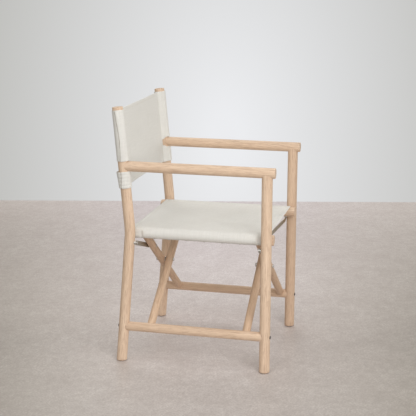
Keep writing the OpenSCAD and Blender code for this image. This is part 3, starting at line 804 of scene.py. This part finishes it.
for side, sx in (("right", -1.0), ("left", 1.0)):
    for end, ya, yb_l in (("rear", PLATE_R, PLATE_IR), ("front", PLATE_F, PLATE_IF)):
        yb = ya if side == "right" else yb_l
        v, f = link_mesh(sx, ya, yb)
        g = np.stack([-(v[:, 0] * sx) * math.cos(LINK_A) + v[:, 2] * 0.3, v[:, 1], v[:, 2]], 1) * M
        o = new_object(f"{side}_{end}_link_strap", v, f, LINK_STEEL, g, sharp=25)
        carve(o, sx * X, LINK_Z, 3.15, ya - 3, ya + 6)
        carve(o, sx * QX, QZ, 3.06, yb - 3, yb + 6)
        co = np.array([w.co for w in o.data.vertices], float)
        set_g(o.data, np.stack([-(co[:, 0] * sx) * math.cos(LINK_A) + co[:, 2] * 0.3, co[:, 1], co[:, 2]], 1), 0.0)
        o.data.set_sharp_from_angle(angle=math.radians(25))
        place(o, f"{side}_{end}_link_body", (f"{side}_{end}_link",))
        out = 1.0 if end == "rear" else -1.0
        base = yb + (2.2 if end == "rear" else 0.0)
        q = [(2.0, -2.1), (3.0, -2.0), (3.0, -0.05), (4.6, -0.05), (5.0, 0.15), (5.0, 0.55), (4.6, 0.95), (3.4, 1.3), (1.6, 1.45)]
        v, f = lathe_mesh((sx * QX, base, QZ), (0, out, 0), q, 44)
        place(new_object(f"{side}_{end}_link_rivet_head", v, f, STEEL), f"{side}_{end}_link_body", (f"{side}_{end}_link_rivet",))


# --------------------------------------------------------------------- canvas
def sheet_faces(n, m, wrap=False):
    """Faces of a closed sheet: an upper and a lower grid of n by m points, with a middle row round the edge."""
    top = np.arange(n * m).reshape(n, m)
    low = top + n * m
    faces = []
    mm = m if wrap else m - 1
    for i in range(n - 1):
        for j in range(mm):
            j2 = (j + 1) % m
            faces.append([top[i, j], top[i + 1, j], top[i + 1, j2], top[i, j2]])
            faces.append([low[i, j], low[i, j2], low[i + 1, j2], low[i + 1, j]])
    return top, low, faces


def closed_sheet(name, top, low, g, material, wrap=False, sharp=50.0, round_by=0.45):
    """top and low are (n, m, 3) grids in millimetres; g is (n, m, 2) in millimetres."""
    n, m = top.shape[:2]
    ti, li, faces = sheet_faces(n, m, wrap)
    verts = [top.reshape(-1, 3), low.reshape(-1, 3)]
    gs = [g.reshape(-1, 2), g.reshape(-1, 2)]
    count = 2 * n * m

    def edge(idx, inner, close):
        nonlocal count
        a, b = top[idx], low[idx]
        away = (a + b) / 2 - (top[inner] + low[inner]) / 2
        away /= np.maximum(np.linalg.norm(away, axis=1, keepdims=True), 1e-9)
        thick = np.linalg.norm(a - b, axis=1, keepdims=True)
        mid = (a + b) / 2 + away * thick * round_by
        ids = np.arange(len(mid)) + count
        verts.append(mid)
        gs.append(g[idx])
        count += len(mid)
        t, l = ti[idx], li[idx]
        k = len(mid)
        for q in range(k if close else k - 1):
            q2 = (q + 1) % k
            faces.append([t[q], t[q2], ids[q2], ids[q]])
            faces.append([ids[q], ids[q2], l[q2], l[q]])
        return ids

    s = slice(None)
    r0 = edge((0, s), (1, s), wrap)
    r1 = edge((n - 1, s), (n - 2, s), wrap)
    if not wrap:
        c0 = edge((s, 0), (s, 1), False)
        c1 = edge((s, m - 1), (s, m - 2), False)
        for (t, l, a, b) in ((ti[0, 0], li[0, 0], r0[0], c0[0]), (ti[0, -1], li[0, -1], r0[-1], c1[0]),
                             (ti[-1, 0], li[-1, 0], r1[0], c0[-1]), (ti[-1, -1], li[-1, -1], r1[-1], c1[-1])):
            faces.append([t, a, b])
            faces.append([l, b, a])
    v = np.concatenate(verts)
    gg = np.concatenate(gs)
    g3 = np.concatenate([gg, np.zeros((len(gg), 1))], 1) * M
    return new_object(name, v, [[int(i) for i in q] for q in faces], material, g3, 0.0, sharp)


def set_painted_crease_shade(obj, dark):
    """Painted shade for seams and folds: how strongly each point of the outer grid is darkened, 0 to 1, by how deep in
    a seam or fold it lies.
    """
    at = obj.data.attributes.new("painted_crease_shade", "FLOAT", "POINT")
    value = np.zeros(len(obj.data.vertices), np.float32)
    value[:dark.size] = dark.reshape(-1)
    at.data.foreach_set("value", value)


def normals_of(grid, wrap=False):
    """Unit normals of an (n, m, 3) grid."""
    du = np.gradient(grid, axis=0)
    if wrap:
        dv = (np.roll(grid, -1, 1) - np.roll(grid, 1, 1)) / 2
    else:
        dv = np.gradient(grid, axis=1)
    nn = np.cross(du, dv)
    return nn / np.maximum(np.linalg.norm(nn, axis=2, keepdims=True), 1e-12)


def stitches(name, curve, normal, body_fn, pitch=3.6, length=2.7, r=0.33, lift=0.12, material=None):
    """Short threads along a line of points, each standing a little off the cloth."""
    seg_len = np.linalg.norm(np.diff(curve, axis=0), axis=1)
    arc = np.concatenate([[0], np.cumsum(seg_len)])
    parts = []
    n = int((arc[-1] - 2) / pitch)
    for i in range(n):
        s0 = 1 + i * pitch
        pts = []
        for t in np.linspace(0, 1, 5):
            s = s0 + t * length
            p = np.array([np.interp(s, arc, curve[:, k]) for k in range(3)])
            w = np.array([np.interp(s, arc, normal[:, k]) for k in range(3)])
            pts.append((p, w / np.linalg.norm(w), t))
        d = pts[-1][0] - pts[0][0]
        d /= np.linalg.norm(d)
        rings = []
        for p, w, t in pts:
            side = np.cross(d, w)
            side /= np.linalg.norm(side)
            rr = r * (0.55 + 0.45 * math.sin(pi * t))
            h = (lift + 0.28) * math.sin(pi * t) - 0.22
            ang = np.linspace(0, 2 * pi, 6, endpoint=False)
            rings.append(p + w * h + rr * np.cos(ang)[:, None] * side + rr * np.sin(ang)[:, None] * w)
        parts.append(loft(rings))
    v, f = merged(parts)
    return v, f


# the seat: one cloth wrapped over both rails
SEAT_Y0, SEAT_Y1 = -243.6, 216.6
HEM = 15.0
ys = np.unique(np.round(np.concatenate([
    np.linspace(SEAT_Y0, SEAT_Y0 + HEM - 2, 8), np.linspace(SEAT_Y0 + HEM - 2, SEAT_Y0 + HEM + 2.4, 9),
    np.linspace(SEAT_Y0 + HEM + 3, -190, 26), np.linspace(-186, 160, 84), np.linspace(162, SEAT_Y1 - HEM - 3, 26),
    np.linspace(SEAT_Y1 - HEM - 2.4, SEAT_Y1 - HEM + 2, 9), np.linspace(SEAT_Y1 - HEM + 2, SEAT_Y1, 8)]), 3))


def rail_flat(y, f0=-200.5, r0=168.5, run=13.0):
    f = np.clip((f0 - y) / run, 0, 1)
    r = np.clip((y - r0) / run, 0, 1)
    k = np.maximum(f, r)
    return k * k * (3 - 2 * k)


def seat_middle(q, y):
    """The middle surface of the seat cloth at arc place q (millimetres from the middle, negative to the right) and y."""
    sx = np.sign(q) + (q == 0)
    aq = np.abs(q)
    rm = 18.55
    slack = 0.06 * np.sin(y / 9.0 + 0.6 * sx) * np.exp(-((np.abs(aq - 235)) / 30) ** 2)
    over = np.clip(aq - RAIL_X, 0, None)
    th = over / rm
    k = rail_flat(y)
    depth = rm + slack - k * (RR - FLAT + 0.0)
    s = np.sin(th)
    lim = np.where(s > 0.05, depth / np.maximum(s, 0.05), 99.0)
    soft = 6.0
    rr = -np.log(np.exp(-soft * (rm + slack) / 10) + np.exp(-soft * np.minimum(lim, 60) / 10)) * 10 / soft
    rr = np.where(k > 0.002, rr * k + (rm + slack) * (1 - k), rm + slack)
    xw = RAIL_X + rr * s
    zw = RAIL_Z + rr * np.cos(th)
    # between the rails
    edge = 1 - np.clip((np.abs(y + 13.5) / 230.0), 0, 1) ** 2
    sag = 2.2 + 4.2 * edge
    f = np.clip(aq / RAIL_X, 0, 1)
    zi = RAIL_Z + rm - sag * (1 - f ** 2)
    dx = RAIL_X - aq
    zr = RAIL_Z + np.sqrt(np.maximum(rm * rm - np.minimum(dx, rm) ** 2, 0))
    zi = np.maximum(zi, np.where(dx < 8, zr, -1e9))
    # slow undulation and the pulls that start at the ends of the two rolls
    x = sx * aq
    wave = 0.9 * np.sin(x / 41.0 + y / 63.0) * np.sin(y / 37.0 - 0.7) + 0.55 * np.sin(x / 23.0 - y / 49.0 + 1.2) - 1.5 * np.exp(-((x * 0.86 - y * 0.51 + 12) / 26.0) ** 2)
    pull = 0.0
    for px, py, dxx, dyy, amp, l1, l2 in ((-195, -205, 0.80, 0.6, 3.6, 50, 10), (-197, 181, 0.9, -0.44, 0.9, 46, 12),
                                          (196, -205, -0.88, 0.46, 2.0, 44, 9), (197, 181, -0.9, -0.42, 1.4, 38, 9),
                                          (-190, -168, 0.95, 0.3, 0.9, 60, 10), (-192, 120, 0.97, -0.2, 0.7, 58, 11)):
        u = (x - px) * dxx + (y - py) * dyy
        w = -(x - px) * dyy + (y - py) * dxx
        pull = pull - amp * np.exp(-np.clip(u, 0, None) / l1) * np.exp(-(np.minimum(u, 0) / 7.0) ** 2) * np.exp(-(w / l2) ** 2)
    ease = np.clip((RAIL_X - 3 - aq) / 16.0, 0, 1)
    zi = zi + (wave + pull) * ease * ease * (3 - 2 * ease)
    on = aq > RAIL_X
    return np.stack([sx * np.where(on, xw, aq), y + 0 * q, np.where(on, zw, zi)], -1)


WRAP = 18.55 * math.radians(176)
qs = np.concatenate([-RAIL_X - np.linspace(WRAP, 0.8, 44), np.linspace(-RAIL_X, -RAIL_X + 30, 16), np.linspace(-RAIL_X + 34, RAIL_X - 34, 86),
                     np.linspace(RAIL_X - 30, RAIL_X, 16), RAIL_X + np.linspace(0.8, WRAP, 44)])
Q, Y = np.meshgrid(qs, ys, indexing="ij")
mid = seat_middle(Q, Y)
nn = normals_of(mid)
if nn[len(qs) // 2, len(ys) // 2, 2] < 0:
    nn = -nn
hem = np.maximum(1 / (1 + np.exp((Y - (SEAT_Y0 + HEM + 1.0)) / 0.35)), 1 / (1 + np.exp(((SEAT_Y1 - HEM - 1.0) - Y) / 0.35)))
groove = 0.38 * (np.exp(-((Y - (SEAT_Y0 + HEM - 1.2)) / 0.8) ** 2) + np.exp(-((Y - (SEAT_Y1 - HEM + 1.2)) / 0.8) ** 2))
up = 0.55 + 0.0 * hem - groove
down = 0.55 + 0.85 * hem * (np.abs(Q) < RAIL_X - 6) - 0.2 * groove
top = mid + nn * up[..., None]
low = mid - nn * down[..., None]
seat = closed_sheet("canvas_seat", top, low, np.stack([Q, Y], -1), CANVAS)
# painted shade in the two hem stitch grooves
set_painted_crease_shade(seat, 0.22 * groove / 0.38)
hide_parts("seat_canvas")

seat_lines = []
for yy in (SEAT_Y0 + HEM - 1.2, SEAT_Y1 - HEM + 1.2):
    j = int(np.argmin(np.abs(ys - yy)))
    v, f = stitches("s", top[3:-3, j], nn[3:-3, j], None)
    seat_lines.append((v, f))
v, f = merged(seat_lines)
seat_thread = new_object("canvas_seat_stitching", v, f, THREAD, sharp=60)


# the back: sleeves over the posts and a panel between them
def sleeve_grid(z0, z1, lower, side, nz):
    """Inner and outer surface of a sleeve round the upper post, in the post's own section, and the painted shade along
    its lap seam.
    """
    th = np.concatenate([np.linspace(-0.9, 0.9, 36, endpoint=False), np.linspace(0.9, 2.72, 36, endpoint=False),
                         np.linspace(2.72, 3.62, 50, endpoint=False), np.linspace(3.62, 2 * pi - 0.9, 32, endpoint=False)])
    z = np.linspace(z0, z1, nz)
    T, Z = np.meshgrid(th, z, indexing="ij")
    ta = np.where(T > pi, 2 * pi - T, np.abs(T))
    # the cut round the arm narrows to a point beside the panel
    reach = 6.5 * np.clip(1 - (ta / 0.75) ** 2, 0, 1) ** 2
    run = (Z - z0) / (z1 - z0)
    Z = Z + reach * (run if lower else run - 1)
    Zc = Z - reach * (run if lower else run - 1)

    def tear(radius, tip):
        ft = math.acos(radius / tip)
        return np.where(ta >= ft, radius, radius / np.cos(np.minimum(ft - ta, ft)))

    if side == "right":
        seam = pi - np.arcsin(np.clip((np.interp(Z, [600, 685, 752, 807, 850], [232, 238, 238.4, 246, 256]) - post_y(Z)) / 19.5, -0.45, 0.38))
    else:
        seam = pi + 0 * Z
    h = run
    rear = np.clip(np.sin(T), 0, None) * (ta > 0.9)
    front = np.clip(-np.sin(T), 0, None) * (ta > 0.9)
    rin = tear(17.75, 27.0)
    rout = tear(18.95, 30.5)
    extra = np.zeros_like(T)
    if lower:
        extra += (3.2 + 3.4 * h ** 1.5) * rear ** 1.3 + 0.8 * (1 - rear) * (ta > 0.9)
        ph = 0.5 * np.sin(1.3 * T + 0.4) + 0.25 * np.sin(3.1 * T)
        fold = np.sin(2 * pi * (Z - z0) / 11.5 + ph + 0.5) + 0.35 * np.sin(2 * pi * (Z - z0) / 6.1 - 1.2 * T)
        win = np.clip((ta - 0.85) / 0.7, 0, 1) * np.clip(np.minimum(h, 1 - h) / 0.10, 0, 1)
        extra += 0.34 * (np.abs(fold + 1.2) ** 0.8 - 1.0) * win
    else:
        extra += 0.25 + 0.45 * np.sin(Z / 17.0 + 1.1 * T) * np.sin(Z / 41.0 + 0.4) * 0.5 * (ta > 0.9)
        flare = np.exp(-(h / 0.045) ** 1.2)
        extra += flare * (1.9 * front + 0.7 * rear)
        if side == "right":
            tuck = np.exp(-((h - 0.90) / 0.075) ** 2)
            extra += 1.2 * tuck * np.exp(-((T - seam - 0.22) / 0.10) ** 2)
            extra += 0.7 * np.exp(-((T - seam - 0.42 - 0.05 * np.sin(Z / 14.0)) / 0.10) ** 2) * np.clip((h - 0.25) / 0.3, 0, 1)
    rin = rin + np.maximum(extra, -0.05) * (ta > 0.5)
    rout = rout + np.maximum(extra, -0.2) * (ta > 0.3)
    # the cloth laps over itself along the outer side: the front part lies on top
    wob = 0.05 * np.sin(Z / 33.0) + (0.03 * np.sin(Z / 11.0))
    lap = 1 / (1 + np.exp(-((T - (seam + wob)) / 0.012)))
    lap = lap * np.clip((2 * pi - 0.95 - T) / 0.9, 0, 1)
    off = T - (seam + wob)
    rout = rout + 1.9 * lap + 1.2 * lap * np.exp(-np.clip(off, 0, None) / 0.14) * (np.abs(T - pi) < 1.2)
    rout = rout - 0.80 * np.exp(-((off + 0.06) / 0.055) ** 2) * (np.abs(T - pi) < 1.2)
    # painted shade: a darker strip along the lap seam, where the lap's edge would shade the cloth under it
    shade = np.exp(-((off + 0.06) / 0.105) ** 2) * (0.75 + 0.25 * np.sin(Z / 9.0)) * (np.abs(T - pi) < 1.2)
    # a stitch groove under the hems
    for hz in ((z1 - 9.0,) if not lower else (z0 + 8.0,)):
        rout = rout - 0.35 * np.exp(-((Zc - hz) / 0.9) ** 2) * (ta > 0.5)
    for hz in ((z0 + 8.0,) if not lower else ()):
        rout = rout - 0.25 * np.exp(-((Z - hz) / 0.9) ** 2) * (ta > 0.5)
    return T, Z, rin, rout, np.clip(shade, 0, 1)


def sleeve_points(T, Z, r, sx):
    """Section coordinates to the chair's: angle 0 points at the other post, a quarter turn to the rear."""
    a, b = r * np.cos(T), r * np.sin(T)
    s = (Z - S2[1]) / math.cos(UP)
    return np.stack([sx * (X - a), S2[0] + s * math.sin(UP) + b * math.cos(UP), S2[1] + s * math.cos(UP) - b * math.sin(UP)], -1)


SLEEVES = {"upper": (687.7, 852.0, 96), "lower": (599.0, 651.3, 60)}
for side, sx in (("right", -1.0), ("left", 1.0)):
    for part, (z0, z1, nz) in SLEEVES.items():
        T, Z, rin, rout, dark = sleeve_grid(z0, z1, part == "lower", side, nz)
        outer, inner = sleeve_points(T, Z, rout, sx), sleeve_points(T, Z, rin, sx)
        outer, inner = outer.transpose(1, 0, 2), inner.transpose(1, 0, 2)
        g = np.stack([T * 19.0 + (300 if sx > 0 else -300), Z], -1).transpose(1, 0, 2)
        o = closed_sheet(f"canvas_{side}_back_sleeve_{part}", outer, inner, g, CANVAS, wrap=True)
        # the painted shade along the lap seam darkens the sleeve's canvas
        set_painted_crease_shade(o, dark.transpose(1, 0))
        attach(o, side + "_side_frame")
        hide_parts(f"{side}_back_sleeve_{part}")

PZ0, PZ1 = 599.0, 852.0
PW = X - 24.5
us = np.unique(np.round(np.concatenate([np.linspace(-PW, -PW + 24, 12), np.linspace(-PW + 26, PW - 26, 92), np.linspace(PW - 24, PW, 12)]), 3))
zs = np.unique(np.round(np.concatenate([np.linspace(PZ0, PZ0 + 8, 6), np.linspace(PZ0 + 8, PZ0 + 13, 9), np.linspace(PZ0 + 15, PZ1 - 15, 62),
                                        np.linspace(PZ1 - 13, PZ1 - 8, 9), np.linspace(PZ1 - 8, PZ1, 6)]), 3))
U, Z = np.meshgrid(us, zs, indexing="ij")
f = np.clip(1 - (U / PW) ** 2, 0, 1)
hz = (Z - PZ0) / (PZ1 - PZ0)
bow = 3.2 * f ** 0.8 * (0.75 + 0.25 * np.sin(pi * hz)) + 2.0 * np.clip((PW - np.abs(U)) / 18.0, 0, 1) ** 0.7
bow = bow + 0.45 * np.sin(U / 38.0 + Z / 55.0) * np.sin(Z / 31.0) * np.sqrt(f) + 0.5 * np.exp(-((PW - np.abs(U)) / 30.0)) * np.sin(Z / 19.0) * np.clip(f * 8, 0, 1)
droop = 1.6 * f * np.clip((hz - 0.8) / 0.2, 0, 1) - 1.2 * f * np.clip((0.2 - hz) / 0.2, 0, 1)
s = (Z - S2[1]) / math.cos(UP)
mid = np.stack([U, S2[0] + s * math.sin(UP) + bow * math.cos(UP), S2[1] + s * math.cos(UP) - bow * math.sin(UP) - droop], -1)
nn = normals_of(mid)
if nn[len(us) // 2, len(zs) // 2, 1] > 0:
    nn = -nn
hem = np.maximum(1 / (1 + np.exp((Z - (PZ0 + 11)) / 0.35)), 1 / (1 + np.exp(((PZ1 - 11) - Z) / 0.35)))
groove = 0.35 * (np.exp(-((Z - (PZ0 + 9.8)) / 0.8) ** 2) + np.exp(-((Z - (PZ1 - 9.8)) / 0.8) ** 2))
inset = np.clip((PW - np.abs(U)) / 8.0, 0, 1)
front = mid + nn * (0.55 - groove * inset)[..., None]
back = mid - nn * (0.55 + 0.8 * hem * inset)[..., None]
panel = closed_sheet("canvas_back_panel", front, back, np.stack([U, Z], -1), CANVAS)
# painted shade in the hem stitch grooves
set_painted_crease_shade(panel, 0.22 * groove / 0.35 * inset)
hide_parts("back_panel")
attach(panel, "right_side_frame")

lines = []
for zz in (PZ0 + 9.8, PZ1 - 9.8):
    j = int(np.argmin(np.abs(zs - zz)))
    lines.append(stitches("p", front[8:-8, j], nn[8:-8, j], None))
for uu in (-PW + 11.0, PW - 11.0):
    i = int(np.argmin(np.abs(us - uu)))
    lines.append(stitches("p", front[i, 2:-2], nn[i, 2:-2], None))
v, f = merged(lines)
panel_thread = new_object("canvas_back_stitching", v, f, THREAD, sharp=60)
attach(panel_thread, "right_side_frame")

# the seat cloth and its stitching baked in place; the back panel and its stitching given meshes of their own
for o in (seat, seat_thread):
    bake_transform(o)
for o in (panel, panel_thread):
    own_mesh(o)


# ---------------------------------------------------------------------- stage
CAM = Vector((-3.80476, -0.89814, 1.39008))
yaw, pitch, roll = math.radians(13.4037), math.radians(13.0090), math.radians(0.2665)
fwd = Vector((math.cos(yaw), math.sin(yaw), 0))
sidev = Vector((fwd.y, -fwd.x, 0))


def make_floor():
    """Pale trowelled floor, with painted light: its colour is lifted in a pool round the middle of the set and toward
    the wall, held down elsewhere, and tinted bluer toward the middle and far off.
    """
    n = Nodes("floor_concrete")
    tc = n.nt.nodes.new("ShaderNodeTexCoord")
    p = tc.outputs["Object"]
    a = n.noise(n.scaled(p, (1.1, 1.1, 1.1)), 1.0, 5.0, 0.6)
    b = n.noise(n.scaled(p, (9, 9, 9)), 1.0, 4.0, 0.65)
    m = n.noise(n.scaled(p, (42, 42, 42)), 1.0, 3.0, 0.6)
    px, py, pz = n.split(p)
    px, py = n.math("SUBTRACT", px, CAM.x), n.math("SUBTRACT", py, CAM.y)
    d = n.math("ADD", n.math("MULTIPLY", px, fwd.x), n.math("MULTIPLY", py, fwd.y))
    l = n.math("ADD", n.math("MULTIPLY", px, sidev.x), n.math("MULTIPLY", py, sidev.y))
    # painted light: outside a pool round the middle of the set the floor's colour is held down to two thirds; inside
    # the pool and toward the wall it is lifted
    dd = n.math("POWER", n.math("DIVIDE", n.math("SUBTRACT", d, 3.84), 1.7), 2.0)
    ll = n.math("POWER", n.math("DIVIDE", n.math("ADD", l, 0.05), 1.252), 2.0)
    painted_light_pool = n.math("EXPONENT", n.math("MULTIPLY", n.math("ADD", dd, ll), -1.0))
    lift = n.math("ADD", n.math("MULTIPLY", painted_light_pool, 1.512), n.math("MULTIPLY", n.math("MAXIMUM", n.math("SUBTRACT", d, 3.892), 0.0), 0.713))
    lift = n.math("EXPONENT", n.math("SUBTRACT", lift, 1.455))
    lift = n.math("MINIMUM", n.math("MAXIMUM", lift, 0.66), 1.40)
    c = n.mix(n.span(a, 0.3, 0.7), (0.775, 0.727, 0.680), (0.722, 0.671, 0.624))
    c = n.mix(n.span(b, 0.35, 0.7, 0.0, 0.55), c, (0.545, 0.488, 0.450))
    c = n.mix(n.span(m, 0.38, 0.66, 0.0, 0.50), c, (0.500, 0.442, 0.408))
    grit = n.noise(n.scaled(p, (150, 150, 150)), 1.0, 3.0, 0.7)
    c = n.mix(n.span(grit, 0.40, 0.60, 0.0, 0.62), c, (0.480, 0.424, 0.392))
    # painted light: blue is raised toward the middle and far off, lowered at the sides and near the camera
    painted_light_tint = n.math("EXPONENT", n.math("MULTIPLY", n.math("POWER", n.math("DIVIDE", l, 0.75), 2.0), -1.0))
    far = n.math("MINIMUM", n.math("MAXIMUM", n.math("SUBTRACT", d, 3.2), 0.0), 3.0)
    painted_light_tint = n.math("ADD", n.math("MULTIPLY", painted_light_tint, 0.10), n.math("ADD", n.math("MULTIPLY", far, 0.034), 0.925))
    c = n.vec("MULTIPLY", c, n.join(lift, lift, n.math("MULTIPLY", lift, painted_light_tint)))
    return n.finish(color=c, rough=n.span(b, 0.3, 0.7, 0.34, 0.46), spec=0.30, normal=n.bump(b, 0.03, 0.002))


corner_mid = Vector((CAM.x, CAM.y, 0)) + fwd * 6.18
pts = [corner_mid + sidev * 9, corner_mid - sidev * 9, corner_mid - sidev * 9 - fwd * 12, corner_mid + sidev * 9 - fwd * 12]
me = bpy.data.meshes.new("floor")
me.from_pydata([tuple(p) for p in pts], [], [[0, 1, 2, 3]])
me.materials.append(make_floor())
floor = bpy.data.objects.new("studio_floor", me)
bpy.context.scene.collection.objects.link(floor)

world = bpy.data.worlds.new("studio")
bpy.context.scene.world = world
world.use_nodes = True
wn = world.node_tree
wn.nodes.clear()
w_out = wn.nodes.new("ShaderNodeOutputWorld")
w_bg = wn.nodes.new("ShaderNodeBackground")
w_tc = wn.nodes.new("ShaderNodeTexCoord")
w_dot = wn.nodes.new("ShaderNodeVectorMath")
w_dot.operation = "DOT_PRODUCT"
# the direction in which the wall is brightest, a little above and right of the chair
az, el = math.radians(12.5), math.radians(-9.7)
w_dot.inputs[1].default_value = (math.cos(el) * math.cos(az), math.cos(el) * math.sin(az), math.sin(el))
w_tall = wn.nodes.new("ShaderNodeVectorMath")
w_tall.operation = "MULTIPLY_ADD"
w_tall.inputs[1].default_value = (1, 1, 0.6)
w_tall.inputs[2].default_value = (0, 0, 0.4 * math.sin(el))
w_unit = wn.nodes.new("ShaderNodeVectorMath")
w_unit.operation = "NORMALIZE"
wn.links.new(w_tc.outputs["Generated"], w_tall.inputs[0])
wn.links.new(w_tall.outputs[0], w_unit.inputs[0])
wn.links.new(w_unit.outputs[0], w_dot.inputs[0])
w_ang = wn.nodes.new("ShaderNodeMath")
w_ang.operation = "ARCCOSINE"
wn.links.new(w_dot.outputs["Value"], w_ang.inputs[0])
w_mr = wn.nodes.new("ShaderNodeMapRange")
w_mr.inputs[1].default_value = math.radians(13.0)
w_mr.inputs[2].default_value = math.radians(0.8)
wn.links.new(w_ang.outputs[0], w_mr.inputs[0])
w_mix = wn.nodes.new("ShaderNodeMix")
w_mix.data_type = "RGBA"
w_mix.inputs[6].default_value = (0.497, 0.495, 0.472, 1)
w_mix.inputs[7].default_value = (0.840, 0.848, 0.868, 1)
wn.links.new(w_mr.outputs[0], w_mix.inputs[0])
w_sep = wn.nodes.new("ShaderNodeSeparateXYZ")
wn.links.new(w_tc.outputs["Generated"], w_sep.inputs[0])
w_up = wn.nodes.new("ShaderNodeMapRange")
w_up.inputs[1].default_value = -0.03
w_up.inputs[2].default_value = 0.10
wn.links.new(w_sep.outputs[2], w_up.inputs[0])
w_mix2 = wn.nodes.new("ShaderNodeMix")
w_mix2.data_type = "RGBA"
w_mix2.inputs[7].default_value = (0.340, 0.327, 0.298, 1)
wn.links.new(w_up.outputs[0], w_mix2.inputs[0])
wn.links.new(w_mix.outputs[2], w_mix2.inputs[6])
wn.links.new(w_mix2.outputs[2], w_bg.inputs[0])
w_bg.inputs[1].default_value = 1.0
wn.links.new(w_bg.outputs[0], w_out.inputs[0])


def area(name, loc, target, size, power, color=(1, 1, 1), size_y=None):
    l = bpy.data.lights.new(name, "AREA")
    l.energy, l.size, l.color = power, size, color
    if size_y:
        l.shape, l.size_y = "RECTANGLE", size_y
    o = bpy.data.objects.new(name, l)
    bpy.context.scene.collection.objects.link(o)
    o.location = loc
    o.rotation_mode = "QUATERNION"
    o.rotation_quaternion = (Vector(target) - Vector(loc)).to_track_quat("-Z", "Y")
    return o


for name, a, e, power in (("key_left", 215, 22, 58.6), ("key_top", 190, 65, 19.0), ("back_light", 20, 45, 28.0),
                          ("fill_front", 310, 22, 19.2), ("fill_left", 160, 42, 13.3)):
    a, e = math.radians(a), math.radians(e)
    way = Vector((math.cos(a) * math.cos(e), math.sin(a) * math.cos(e), math.sin(e)))
    area(name, tuple(way * 3.4 + Vector((0, 0, 0.3))), (0, 0, 0.45), 1.8, power)

sc = bpy.context.scene
sc.view_settings.view_transform = "Standard"
sc.view_settings.look = "None"
sc.view_settings.exposure = 0.0
sc.view_settings.gamma = 1.0

cam_data = bpy.data.cameras.new("camera")
cam_data.sensor_width = 36.0
cam_data.lens = 1162.435 / 416.0 * 36.0
cam_data.clip_start, cam_data.clip_end = 0.05, 60.0
cam = bpy.data.objects.new("camera", cam_data)
sc.collection.objects.link(cam)
d = Vector((math.cos(pitch) * math.cos(yaw), math.cos(pitch) * math.sin(yaw), -math.sin(pitch)))
r = d.cross(Vector((0, 0, 1))).normalized()
u = r.cross(d)
r2 = math.cos(roll) * r + math.sin(roll) * u
u2 = -math.sin(roll) * r + math.cos(roll) * u
rot = Matrix((r2, u2, -d)).transposed().to_4x4()
cam.matrix_world = Matrix.Translation(CAM) @ rot
sc.camera = cam

bpy.context.view_layer.update()
